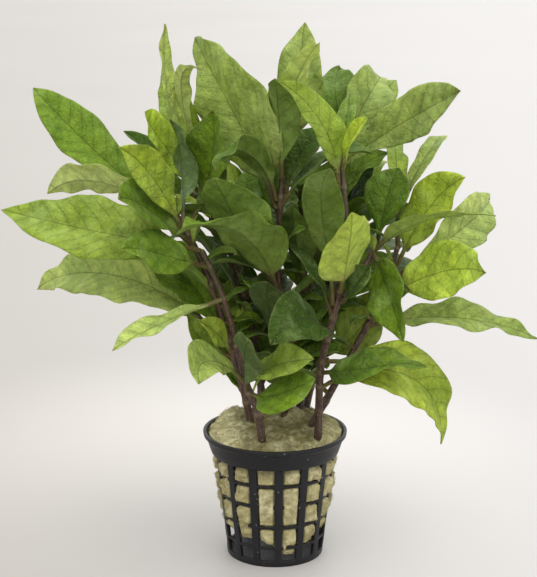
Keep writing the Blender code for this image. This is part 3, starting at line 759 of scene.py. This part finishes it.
def ring_faces(rows, sides):
    """Faces of a closed tube of rows of points, each row a ring, its two ends left open."""
    faces = []
    for i in range(rows - 1):
        for j in range(sides):
            a, b = i * sides + j, i * sides + (j + 1) % sides
            faces.append((a, b, b + sides, a + sides))
    return faces


def dress(piece, slot, *nodes):
    """Every piece rides on the one body and hides the solids that it stands for. Its slot is not used."""
    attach(piece, BODY)
    if nodes:
        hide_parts(*nodes)


def leaf_axes(leaf, t):
    """The leaf's direction, side and upper normal at the share t of its length."""
    turn = math.radians(leaf["heading"] + leaf["swing"] * t)
    curl = leaf["curl"] * (smoothstep(0.62, 1.0, t) - 0.25 * smoothstep(0.1, 0.4, t))
    pitch = math.radians(leaf["rise"] - leaf["droop"] * t - curl)
    roll = math.radians(leaf["roll"] + leaf["twist"] * t)
    along = Vector((math.cos(pitch) * math.cos(turn), math.cos(pitch) * math.sin(turn), math.sin(pitch)))
    level = Vector((-math.sin(turn), math.cos(turn), 0.0))
    up = along.cross(level)
    side = level * math.cos(roll) - up * math.sin(roll)
    normal = up * math.cos(roll) + level * math.sin(roll)
    return along, side, normal


def leaf_half_width(leaf, t):
    if t <= LEAF_PETIOLE_SHARE:
        return LEAF_PETIOLE_HALF_WIDTH
    share = (t - LEAF_PETIOLE_SHARE) / (1 - LEAF_PETIOLE_SHARE)
    bend = math.log(0.5) / math.log(leaf["belly"])
    swell = max(0.0, math.sin(math.pi * share**bend)) ** LEAF_FULLNESS
    blade = 0.5 * leaf["width"] * MM * swell
    petiole = LEAF_PETIOLE_HALF_WIDTH * (1 - smoothstep(0.5, 1.0, t)) + LEAF_TIP_HALF_WIDTH
    return (blade**3 + petiole**3) ** (1 / 3)


def leaf_rows(leaf, foot, start, count):
    """The midrib's points and axes, from inside the stem's skin through the foot to the tip."""
    rows = [(0.0, foot.lerp(start, share), *leaf_axes(leaf, 0.0)) for share in LEAF_FOOT_SHARES]
    point, t = start.copy(), 0.0
    step = 1 / (count - 1)
    for _ in range(count):
        rows.append((t, point.copy(), *leaf_axes(leaf, t)))
        point += leaf_axes(leaf, t + step / 2)[0] * leaf["length"] * MM * step
        t += step
    return rows


def leaf_lift(leaf, seed, run, out, share):
    """How far the blade stands off its plain form, in millimetres, at a place on it."""
    away = abs(share)
    where = min(1.0, run / leaf["length"])
    body = smoothstep(0.10, 0.30, where) * (1 - 0.6 * smoothstep(0.85, 1.0, where))
    beat = seed * 1.7 + (0.0 if share > 0 else 2.1)
    waves = math.sin(run * 0.30 + beat) + 0.55 * math.sin(run * 0.53 + 2.3 * beat)
    rise = leaf["waves"] * body * away**1.8 * waves * 0.85
    lag = run - VEIN_SLANT * abs(out) - VEIN_BEND * out * out + math.copysign(VEIN_STAGGER, out)
    quilt = abs(math.sin(math.pi * lag / VEIN_SPACING))
    rise += leaf["wrinkles"] * body * (quilt**0.7 - 0.6) * min(1.0, 3.0 * away) * (1 - away**3)
    crumple = noise.noise(Vector((run / LEAF_CRUMPLES, out / LEAF_CRUMPLES, seed * 3.1)))
    rise += leaf["wrinkles"] * 1.6 * body * crumple * min(1.0, 2.0 * away)
    swell = noise.noise(Vector((run / LEAF_SWELLS, out / LEAF_SWELLS, seed * 5.3 + 9)))
    return rise + 1.8 * body * swell * away


def leaf_blade(leaf, seed, foot, start, count=LEAF_ROWS, columns=LEAF_COLUMNS):
    """One closed, thin, veined blade with a round petiole, as points, faces and attributes."""
    points, values = [], {key: [] for key in LEAF_ATTRIBUTES}
    tint = 0.5 + 0.5 * math.sin(seed * 12.9898)
    dryness = max(0.0, math.sin(seed * 5.17) - 0.35)
    shares = [-1 + 2 * j / columns for j in range(columns + 1)]
    bend = LEAF_MARGIN_FOLD - LEAF_FOLD
    rows = leaf_rows(leaf, foot, start, count)
    belly, widening = leaf.get("flare") or (leaf["belly"], 1.0)
    flared = {**leaf, "belly": belly, "width": leaf["width"] * widening}
    for t, middle, _, side, normal in rows:
        halves = leaf_half_width(leaf, t), leaf_half_width(flared, t)
        run = t * leaf["length"]
        stalk = 1 - smoothstep(0.10, 0.24, t)
        wobble = 1 + 0.05 * smoothstep(0.2, 0.4, t) * noise.noise(Vector((run / 9, seed * 7.7, 0)))
        petiole = 1 - smoothstep(0.08, 0.26, t)
        dry = dryness * smoothstep(0.965, 0.99, t)
        ring = []
        for share in shares:
            half = halves[share < 0]
            away = abs(share)
            angle = LEAF_FOLD + bend * away
            reach = (math.sin(angle) - math.sin(LEAF_FOLD)) / bend
            lift = (math.cos(LEAF_FOLD) - math.cos(angle)) / bend
            reach = away * stalk + reach * (1 - stalk)
            lift = lift * (1 - stalk)
            reach = math.copysign(reach, share) * half * (wobble if share > 0 else 2 - wobble)
            out = share * half / MM
            lift = lift * half + leaf_lift(leaf, seed, run, out, share) * MM
            rib = math.exp(-((share * half / LEAF_RIB_HALF_WIDTH) ** 2)) * (1 - 0.85 * t)
            round_half = LEAF_PETIOLE_HALF_WIDTH * math.sqrt(max(0.0, 1 - share * share)) + 0.03 * MM
            top = (1 - stalk) * (LEAF_HALF_THICKNESS - 0.10 * MM * rib) + stalk * round_half
            low = (1 - stalk) * (LEAF_HALF_THICKNESS + LEAF_RIB_HEIGHT * rib) + stalk * round_half
            thin = 1 - 0.6 * away**6
            place = middle + side * reach
            upper, lower = place + normal * (lift + top * thin), place + normal * (lift - low * thin)
            ring.append((upper, lower, out, half / MM - abs(out)))
        for under, order in ((0, ring), (1, ring[::-1])):
            for upper, lower, out, edge in order:
                points.append(tuple(lower if under else upper))
                for key, value in zip(LEAF_ATTRIBUTES, (run, out, edge, under, tint, petiole, dry)):
                    values[key].append(value)
    sides = 2 * len(shares)
    faces = ring_faces(len(rows), sides)
    last = (len(rows) - 1) * sides
    for j in range(len(shares) - 1):
        k = sides - 1 - j
        faces.append((j + 1, j, k, k - 1))
        faces.append((last + j, last + j + 1, last + k - 1, last + k))
    return points, faces, values


def leaf_ends(line, leaf, rooted=True):
    """A leaf's hidden foot in its stem, and the start of its petiole."""
    outward = ray(math.radians(leaf["heading"]))
    root = point_at_height(line, leaf["height"] * MM)
    foot = root + outward * 0.5 * LEAF_ROOTED - Vector((0, 0, 0.5 * MM))
    return foot, root + outward * (LEAF_ROOTED if rooted else LEAF_STANDOFF)


def leaf_sheet(leaf, foot, start):
    """A coarse sheet along a leaf's blade, as points and faces, to find what it would cross."""
    points, faces = [], []
    rows = leaf_rows(leaf, foot, start, SHEET_ROWS)[len(LEAF_FOOT_SHARES):]
    rows = [row for row in rows if row[0] > SHEET_START]
    for t, middle, _, side, normal in rows:
        half = leaf_half_width(leaf, t)
        for share in SHEET_SHARES:
            points.append(middle + (side * share + normal * 0.25 * abs(share)) * half)
    width = len(SHEET_SHARES)
    for i in range(len(rows) - 1):
        for a in range(i * width, i * width + width - 1):
            faces.append((a, a + 1, a + width + 1, a + width))
    return points, faces


def grow_leaves(lines, materials):
    """Every leaf of the list, each as its own piece on its stem. Gives back their coarse sheets."""
    seed, sheets = 0, []
    for stem_name, leaves in LEAVES.items():
        for number, (rooted, *values) in enumerate(leaves, start=1):
            seed += 1
            leaf = dict(zip(LEAF_FIELDS, values))
            leaf["flare"] = LEAF_FLARES.get((stem_name, number))
            foot, start = leaf_ends(lines[stem_name], leaf, rooted)
            points, faces, attributes = leaf_blade(leaf, seed, foot, start)
            name = f"{stem_name}_leaf_{number}"
            piece = mesh_object(name, points, faces, materials[leaf["tone"]], attributes)
            node = f"stem_{stem_name}" if rooted else f"leaf_{stem_name}_{number}"
            dress(piece, "leaf", node)
            sheets.append(leaf_sheet(leaf, foot, start))
    return sheets


def tree_of(sheets):
    points, faces, _ = joined([(*sheet, {}) for sheet in sheets])
    return BVHTree.FromPolygons(points, faces)


def in_opening(point):
    """Whether the photograph's view sees a point in one of the bush's openings."""
    share = CAMERA_PLACE.y / (CAMERA_PLACE.y - point.y)
    seen = CAMERA_PLACE.lerp(point, share) / MM
    return any(math.hypot(seen.x - x, seen.z - z) < radius for x, z, radius in INNER_OPENINGS)


def has_room(sheet, others, stems):
    """Whether a sheet stays inside the bush and clear of the other leaves and of the stems."""
    points, faces = sheet
    reach = INNER_REACH
    for point in points:
        if abs(point.x) > reach.x or not INNER_FRONT < point.y < reach.y or point.z > reach.z:
            return False
        if point.z < INNER_WAIST_TOP and abs(point.x) > INNER_WAIST:
            return False
        if in_opening(point) or others.find_nearest(point, INNER_CLEARANCE)[0]:
            return False
        if stems.find_nearest(point, STEM_FOOT_RADIUS + INNER_STEM_CLEARANCE)[0]:
            return False
    return not BVHTree.FromPolygons(points, faces).overlap(others)


def stem_ribbons(lines):
    """Thin upright ribbons along the stems, to find what would cross them."""
    ribbons = []
    for line in lines.values():
        points = [point + Vector((x, 0, 0)) for point in line for x in (-0.1 * MM, 0.1 * MM)]
        faces = [(k, k + 1, k + 3, k + 2) for k in range(0, len(points) - 2, 2)]
        ribbons.append((points, faces))
    return tree_of(ribbons)


def try_leaf(leaf, line, sheets, others, stems):
    """Grow a leaf if it has room, and give back its mesh and the new tree of leaves."""
    foot, start = leaf_ends(line, leaf)
    sheet = leaf_sheet(leaf, foot, start)
    if not has_room(sheet, others, stems):
        return None, others
    sheets.append(sheet)
    blade = leaf_blade(leaf, len(sheets), foot, start, leaf["rows"], leaf["columns"])
    return blade, tree_of(sheets)


def inner_leaf(height, turn, length, k):
    """A plain leaf of the shaded middle of the bush."""
    return {
        **INNER_LEAF, "height": height, "heading": turn, "length": length, "width": 0.43 * length,
        "rise": 62 - 14 * (k % 3), "droop": 30 + 12 * (k % 4), "swing": 18 * (k % 3 - 1),
        "roll": 15 * (k % 5 - 2),
    }


def add_bunch(name, parts, material):
    """One piece out of the blades that found room, if any did."""
    if parts:
        points, faces, attributes = joined(parts)
        dress(mesh_object(name, points, faces, material, attributes), "leaf")


def grow_inner_leaves(lines, materials, sheets):
    """Crossed pairs of leaves up the stems, each where it finds room between those of the list."""
    stems = stem_ribbons(lines)
    others = tree_of(sheets)
    for stem_name in INNER_STEMS:
        line, parts = lines[stem_name], []
        levels = int((line[-1].z / MM - INNER_BELOW_TOP - INNER_LOWEST) / INNER_STEP)
        for k in range(2 * levels):
            height = INNER_LOWEST + INNER_STEP * (k // 2)
            heading = 30 + 90 * (k // 2) + 180 * (k % 2)
            for length, turn in itertools.product(INNER_LENGTHS, INNER_TURNS):
                leaf = inner_leaf(height, heading + turn, length, k)
                blade, others = try_leaf(leaf, line, sheets, others, stems)
                if blade:
                    parts.append(blade)
                    break
        add_bunch(f"{stem_name}_inner_leaves", parts, materials[INNER_TONES[stem_name]])


def grow_shoots(lines, materials, sheets):
    """Pairs of very small young leaves at the joints of the stems, where there is room for them."""
    stems = stem_ribbons(lines)
    others = tree_of(sheets)
    for stem_name, line in lines.items():
        parts = []
        for k, joint in enumerate(joint_heights(stem_name, line)):
            length = SHOOT_LENGTHS[k % len(SHOOT_LENGTHS)]
            for heading in (75 * k, 75 * k + 180):
                leaf = {**SHOOT_LEAF, "height": joint / MM + 1, "heading": heading,
                        "length": length, "width": 0.4 * length}
                blade, others = try_leaf(leaf, line, sheets, others, stems)
                if blade:
                    parts.append(blade)
        add_bunch(f"{stem_name}_shoots", parts, materials["lime"])


def joint_heights(stem_name, line):
    """Heights in metres of a stem's joints: where its leaves grow, and more where they are far apart."""
    heights = sorted(values[HEIGHT_COLUMN] * MM for values in LEAVES[stem_name])
    low = line[0].z + (JOINT_LOWEST if stem_name in STEMS else BRANCH_JOINT_LOWEST)
    found = []
    for height in [low, *heights, line[-1].z - 1 * MM]:
        if found and height - found[-1] > JOINT_FURTHEST:
            found.append((height + found[-1]) / 2)
        if not found or height - found[-1] > JOINT_APART:
            found.append(height)
    return found


def closeness(height, joints, spread):
    """From 1 at a joint's height down to 0 away from the joints."""
    return max(math.exp(-(((height - joint) / spread) ** 2)) for joint in joints)


def stem_piece(stem_name, line, material):
    """A jointed stem, a little four-sided, with its buried end down in the rockwool."""
    full = list(line)
    if stem_name in STEMS:
        foot = line[0]
        end = Vector((foot.x * STEM_BURIED_LEAN, foot.y * STEM_BURIED_LEAN, foot.z - STEM_BURIED))
        full = [end, *full]
    points = resampled(full, STEM_STEP)
    joints = joint_heights(stem_name, line)
    scars = [joint + STEM_SCAR_ABOVE for joint in joints]
    verts, ups, marks = [], [], []
    low, high = line[0].z, line[-1].z
    for i, point in enumerate(points):
        ahead = points[min(i + 1, len(points) - 1)] - points[max(i - 1, 0)]
        side = ahead.cross(Vector((0, 1, 0))).normalized()
        other = side.cross(ahead).normalized()
        up = min(1.0, max(0.0, (point.z - low) / (high - low)))
        swelling = 0.20 * closeness(point.z, joints, STEM_SWELLING)
        swelling -= 0.07 * closeness(point.z, scars, STEM_SCAR)
        radius = STEM_FOOT_RADIUS + (STEM_TIP_RADIUS - STEM_FOOT_RADIUS) * up
        radius *= 1 + swelling + 0.05 * noise.noise(point / (7 * MM))
        closing = i - len(points) + STEM_TIP_POINTS
        if closing > 0:
            radius *= math.sqrt(1 - (closing / STEM_TIP_LENGTH) ** 2)
        mark = closeness(point.z, joints, STEM_MARK)
        for j in range(STEM_SIDES):
            turn = 2 * math.pi * j / STEM_SIDES
            reach = radius * (1 + 0.06 * math.cos(4 * turn))
            place = point + (side * math.cos(turn) + other * math.sin(turn)) * reach
            verts.append(tuple(place))
            ups.append(up)
            marks.append(mark)
    faces = ring_faces(len(points), STEM_SIDES)
    last = (len(points) - 1) * STEM_SIDES
    faces.append(tuple(range(STEM_SIDES))[::-1])
    faces.append(tuple(range(last, last + STEM_SIDES)))
    piece = mesh_object(f"{stem_name}_stem", verts, faces, material, {"up": ups, "joint": marks})
    dress(piece, "stem", f"stem_{stem_name}")


def rib_turn():
    """The turn round the pot that a rib takes up, in radians."""
    return POT_RIB_WIDTH / (interpolate(POT_PROFILE, POT_RIB_LEVEL) * MM)


def pot_turns():
    """Turns round the pot of the columns' edges, and whether each column is part of a rib."""
    rib = rib_turn()
    start = -math.pi / 2 + POT_FRONT_RIB_TURN - rib / 2
    turns, ribs = [], []
    for i in range(POT_RIBS):
        for k in range(POT_RIB_COLUMNS):
            turns.append(start + i * POT_PITCH + rib * k / POT_RIB_COLUMNS)
            ribs.append(True)
        for k in range(POT_WINDOW_COLUMNS):
            turns.append(start + i * POT_PITCH + rib + (POT_PITCH - rib) * k / POT_WINDOW_COLUMNS)
            ribs.append(False)
    return turns, ribs


def pot_rows():
    """(height, outer radius, inner radius, kind of the row above) up the wall, in millimetres."""
    edges = [(0.0, "solid"), (POT_BASE_EDGE, "window")]
    for ring in POT_RINGS:
        edges += [(ring - POT_RING_HEIGHT / 2, "ring"), (ring + POT_RING_HEIGHT / 2, "window")]
    edges += [(height, "solid") for height, _ in POT_PROFILE[1:]]
    return [(height, interpolate(POT_PROFILE, height), interpolate(POT_BORE, height), kind)
            for height, kind in edges]


def pot_piece(material):
    """The net pot as one closed wall with windows, ribs that stand proud of the rings, and a flat base."""
    turns, ribs = pot_turns()
    rows = pot_rows()
    columns, top = len(turns), len(rows) - 1
    shell = bmesh.new()
    outer, inner = {}, {}
    for i, (height, out_radius, in_radius, kind) in enumerate(rows):
        ring_row = "ring" in (kind, rows[i - 1][3])
        up = Vector((0, 0, height * MM))
        floor = up if i else Vector((0, 0, POT_WALL))
        for j, turn in enumerate(turns):
            outer[i, j] = shell.verts.new(ray(turn) * out_radius * MM + up)
            inner[i, j] = shell.verts.new(ray(turn) * in_radius * MM + floor)
            if ring_row and not ribs[j] and not ribs[j - 1]:
                flat = outer[i, j].co.to_2d()
                flat -= flat.normalized() * POT_RING_RECESS
                outer[i, j].co = (*flat, outer[i, j].co.z)
    cells = {(i, j) for i in range(top) for j in range(columns) if rows[i][3] != "window" or ribs[j]}
    for i, j in sorted(cells):
        k = (j + 1) % columns
        corners = [(i, j), (i, k), (i + 1, k), (i + 1, j)]
        beyond = [(i - 1, j), (i, k), (i + 1, j), (i, (j - 1) % columns)]
        shell.faces.new([outer[corner] for corner in corners])
        shell.faces.new((inner[i, j], inner[i + 1, j], inner[i + 1, k], inner[i, k]))
        for a, b, cell in zip(corners, corners[1:] + corners[:1], beyond):
            if cell[0] >= 0 and cell not in cells:
                shell.faces.new((outer[b], outer[a], inner[a], inner[b]))
    under = shell.verts.new((0, 0, 0))
    above = shell.verts.new((0, 0, POT_WALL))
    for j in range(columns):
        k = (j + 1) % columns
        shell.faces.new((outer[0, k], outer[0, j], under))
        shell.faces.new((inner[0, j], inner[0, k], above))
    loose = [vert for vert in shell.verts if not vert.link_faces]
    bmesh.ops.delete(shell, geom=loose, context="VERTS")
    bmesh.ops.recalc_face_normals(shell, faces=shell.faces)
    mesh = bpy.data.meshes.new("net_pot")
    shell.to_mesh(mesh)
    shell.free()
    pot = smooth_object("net_pot", mesh, material)
    edges = pot.modifiers.new("Edges", "BEVEL")
    edges.width = POT_EDGE
    edges.segments = 2
    edges.limit_method = "ANGLE"
    edges.angle_limit = POT_EDGE_ANGLE
    dress(pot, "pot", "pot")


def rib_distance(turn):
    """Distance in millimetres along the wall from a turn to the nearest rib's edge, 0 on the rib."""
    half = POT_PITCH / 2
    away = abs((turn + math.pi / 2 - POT_FRONT_RIB_TURN + half) % POT_PITCH - half)
    return max(0.0, away - rib_turn() / 2) * POT_MEAN_RADIUS


def wool_radius(height):
    """Radius of the rockwool inside the pot at a height, in metres."""
    return (interpolate(POT_BORE, height / MM) - WOOL_CLEARANCE) * MM


def bulge(turn, height):
    """How far the wool swells through a window at a place on the wall, in metres."""
    level = height / MM
    x, y = math.cos(turn), math.sin(turn)
    side = smoothstep(0.05, 0.9, rib_distance(turn))
    below = smoothstep(0.0, 0.9, min(abs(level - ring) - POT_RING_HEIGHT / 2 for ring in POT_RINGS))
    over = noise.noise(Vector((x * 3, y * 3, level / 6)))
    if y < -0.9 and abs(level - POT_RINGS[2]) < 3:
        over = 1.0
    below = max(below, 0.9 * smoothstep(0.34, 0.50, over))
    top = 1 - smoothstep(*WOOL_BULGE_TOP, level)
    tuft = 0.95 + 0.4 * noise.noise(Vector((x * 7, y * 7, level / 3.2)))
    reach = WOOL_BULGE + WOOL_SIDE_BULGE * abs(x) * smoothstep(14.0, 22.0, level)
    return reach * side * below * top * max(0.2, tuft)


def wool_roughness(place):
    """Small uneven lumps of the matted surface, in metres."""
    lump = 0.55 * noise.noise(place / (5.0 * MM)) + 0.28 * noise.noise(place / (1.9 * MM))
    return (lump + 0.16 * noise.noise(place / (0.8 * MM))) * MM


def wool_mound(place):
    """Height of the uneven top above its dome at a place, in metres."""
    total = 0.0
    for x, y, height, spread in WOOL_MOUNDS:
        away = (Vector((place.x, place.y)) / MM - Vector((x, y))).length / spread
        total += height * MM * math.exp(-away * away)
    return total


def wool_grid():
    """Rings of (radius, height) down the rockwool, from the middle of its top to under it."""
    rows = []
    edge = wool_radius(WOOL_EDGE_TOP) - 0.2 * MM
    for i in range(1, WOOL_TOP_ROWS + 1):
        share = i / WOOL_TOP_ROWS
        height = WOOL_EDGE_TOP + WOOL_DOME * (1 - share**WOOL_DOME_POWER)
        rows.append([(share * edge, height)] * WOOL_SIDES)
    side_top = WOOL_EDGE_TOP - WOOL_EDGE_ROUNDING
    for i in range(1, WOOL_SIDE_ROWS + 1):
        share = i / WOOL_SIDE_ROWS
        row = []
        for j in range(WOOL_SIDES):
            turn = 2 * math.pi * j / WOOL_SIDES
            away = (ray(turn) * 16 * MM - WOOL_TONGUE).length / WOOL_TONGUE_SPREAD
            ragged = 1.6 * noise.noise(Vector((math.cos(turn) * 4, math.sin(turn) * 4, 1.7))) * MM
            bottom = WOOL_BOTTOM - WOOL_TONGUE_DEPTH * math.exp(-away * away) + ragged
            height = side_top + (bottom - side_top) * share
            radius = wool_radius(height) + bulge(turn, height)
            radius -= 1.2 * MM * smoothstep(0.93, 1.0, share)
            row.append((radius, height))
        rows.append(row)
    last = rows[-1]
    for i in range(1, WOOL_UNDER_ROWS):
        share = 1 - i / WOOL_UNDER_ROWS
        fall = 0.6 * MM * (1 - share)
        rows.append([(radius * share, height - fall) for radius, height in last])
    return rows


def wool_piece(material):
    """The rockwool plug. Gives back its points, ring by ring."""
    rows = wool_grid()
    points = []
    for i, row in enumerate(rows):
        for j, (radius, height) in enumerate(row):
            turn = 2 * math.pi * j / WOOL_SIDES
            place = Vector((radius * math.cos(turn), radius * math.sin(turn), height))
            rough = wool_roughness(place)
            if i < WOOL_TOP_ROWS:
                place.z += 2.3 * rough + wool_mound(place)
            else:
                place += ray(turn) * rough * 0.8
            points.append(tuple(place))
    faces = [face[::-1] for face in ring_faces(len(rows), WOOL_SIDES)]
    top, bottom = len(points), len(points) + 1
    points.append((0, 0, sum(point[2] for point in points[:WOOL_SIDES]) / WOOL_SIDES))
    points.append((0, 0, rows[-1][0][1]))
    last = (len(rows) - 1) * WOOL_SIDES
    for j in range(WOOL_SIDES):
        k = (j + 1) % WOOL_SIDES
        faces.append((top, j, k))
        faces.append((bottom, last + k, last + j))
    piece = mesh_object("rockwool_plug", points, faces, material)
    dress(piece, "rockwool", "rockwool")
    return points


def fibre_mesh(name, strands, radius, material):
    """Short thin three-sided tubes, each along a few points, as one mesh."""
    points, faces = [], []
    for strand in strands:
        base = len(points)
        for i, point in enumerate(strand):
            ahead = strand[min(i + 1, len(strand) - 1)] - strand[max(i - 1, 0)]
            side = ahead.orthogonal().normalized()
            other = ahead.cross(side).normalized()
            thin = radius * (1 if 0 < i < len(strand) - 1 else 0.4)
            for k in range(3):
                turn = 2 * math.pi * k / 3
                points.append(tuple(point + (side * math.cos(turn) + other * math.sin(turn)) * thin))
        for face in ring_faces(len(strand), 3):
            faces.append(tuple(base + corner for corner in face))
        end = base + 3 * (len(strand) - 1)
        faces.append((base + 2, base + 1, base))
        faces.append((end, end + 1, end + 2))
    return mesh_object(name, points, faces, material)


def wool_fibres(surface, material):
    """Loose fibres that lie on the rockwool's top and stick out of its windows."""
    random = np.random.default_rng(WOOL_FIBRE_SEED)
    strands = []
    for i in range(WOOL_FIBRES):
        on_top = i % 2
        if on_top:
            row = int(math.sqrt(random.random()) * (WOOL_TOP_ROWS - 1))
        else:
            row = WOOL_TOP_ROWS + int((0.12 + 0.86 * random.random()) * WOOL_SIDE_ROWS)
        column = int(random.integers(WOOL_SIDES))
        if not on_top and rib_distance(2 * math.pi * column / WOOL_SIDES) < 0.3:
            continue
        place = Vector(surface[row * WOOL_SIDES + column])
        outward = Vector((0, 0, 1)) if on_top else Vector((place.x, place.y, 0)).normalized()
        heading = Vector(random.normal(size=3))
        heading -= outward * heading.dot(outward)
        heading.normalize()
        length = (0.9 + 1.9 * random.random()) * MM
        lift = (0.10 + 0.30 * random.random() ** 2) * MM
        curve = Vector(random.normal(size=3)) * 0.25
        strand = []
        for k in range(4):
            share = k / 3
            bend = heading * (share - 0.5) + curve * share * (1 - share)
            loft = lift * math.sin(math.pi * share) * 2 - 0.05 * MM
            strand.append(place + bend * length + outward * loft)
        strands.append(strand)
    piece = fibre_mesh("rockwool_fibres", strands, WOOL_FIBRE_RADIUS, material)
    dress(piece, "rockwool", "rockwool")


def add_floor():
    bpy.ops.mesh.primitive_plane_add(size=40.0, location=(0, 0, 0))
    floor = bpy.context.object
    floor.name = "floor"
    floor.data.materials.append(floor_material())


def add_sun(name, direction, energy, spread, colour):
    """A soft sun that shines along a direction. Its spread is its angular size in degrees."""
    lamp = bpy.data.lights.new(name, "SUN")
    lamp.energy = energy
    lamp.angle = math.radians(spread)
    lamp.color = colour
    linked(name, lamp).rotation_euler = Vector(direction).to_track_quat("-Z", "Y").to_euler()


def add_studio():
    """Even soft light: a pale world, a broad key from the upper right, and two weaker suns."""
    world = bpy.data.worlds.new("studio")
    world.use_nodes = True
    background = world.node_tree.nodes["Background"]
    background.inputs["Color"].default_value = (0.97, 0.98, 1.0, 1.0)
    background.inputs["Strength"].default_value = 1.08
    scene = bpy.context.scene
    scene.world = world
    scene.view_settings.view_transform = "Standard"
    add_sun("key", (-0.40, 0.30, -1.0), 2.0, 60, (1.0, 0.99, 0.96))
    add_sun("fill", (0.6, 0.8, -0.8), 0.8, 60, (1.0, 1.0, 1.0))
    add_sun("back", (-0.2, -0.8, -0.8), 0.9, 60, (1.0, 1.0, 0.97))


def add_camera():
    """The photograph's view."""
    camera = bpy.data.cameras.new("photo_view")
    camera.sensor_fit = "HORIZONTAL"
    camera.sensor_width = SENSOR
    camera.lens = SENSOR * FOCAL_PIXELS / IMAGE_WIDTH
    obj = linked("photo_view", camera)
    obj.location = CAMERA_PLACE
    obj.rotation_euler = (math.pi / 2 - CAMERA_DOWN, 0.0, 0.0)
    bpy.context.scene.camera = obj


def main():
    add_camera()
    add_studio()
    add_floor()
    lines = {name: smooth_line(points) for name, points in {**STEMS, **BRANCHES}.items()}
    materials = {tone: leaf_material(tone) for tone in TONES}
    skin = stem_material()
    for name, line in lines.items():
        stem_piece(name, line, skin)
    sheets = grow_leaves(lines, materials)
    grow_inner_leaves(lines, materials, sheets)
    grow_shoots(lines, materials, sheets)
    pot_piece(pot_material())
    surface = wool_piece(wool_material("rockwool_mat", *WOOL_TONES))
    wool_fibres(surface, wool_material("rockwool_strands", *WOOL_STRAND_TONES))


main()
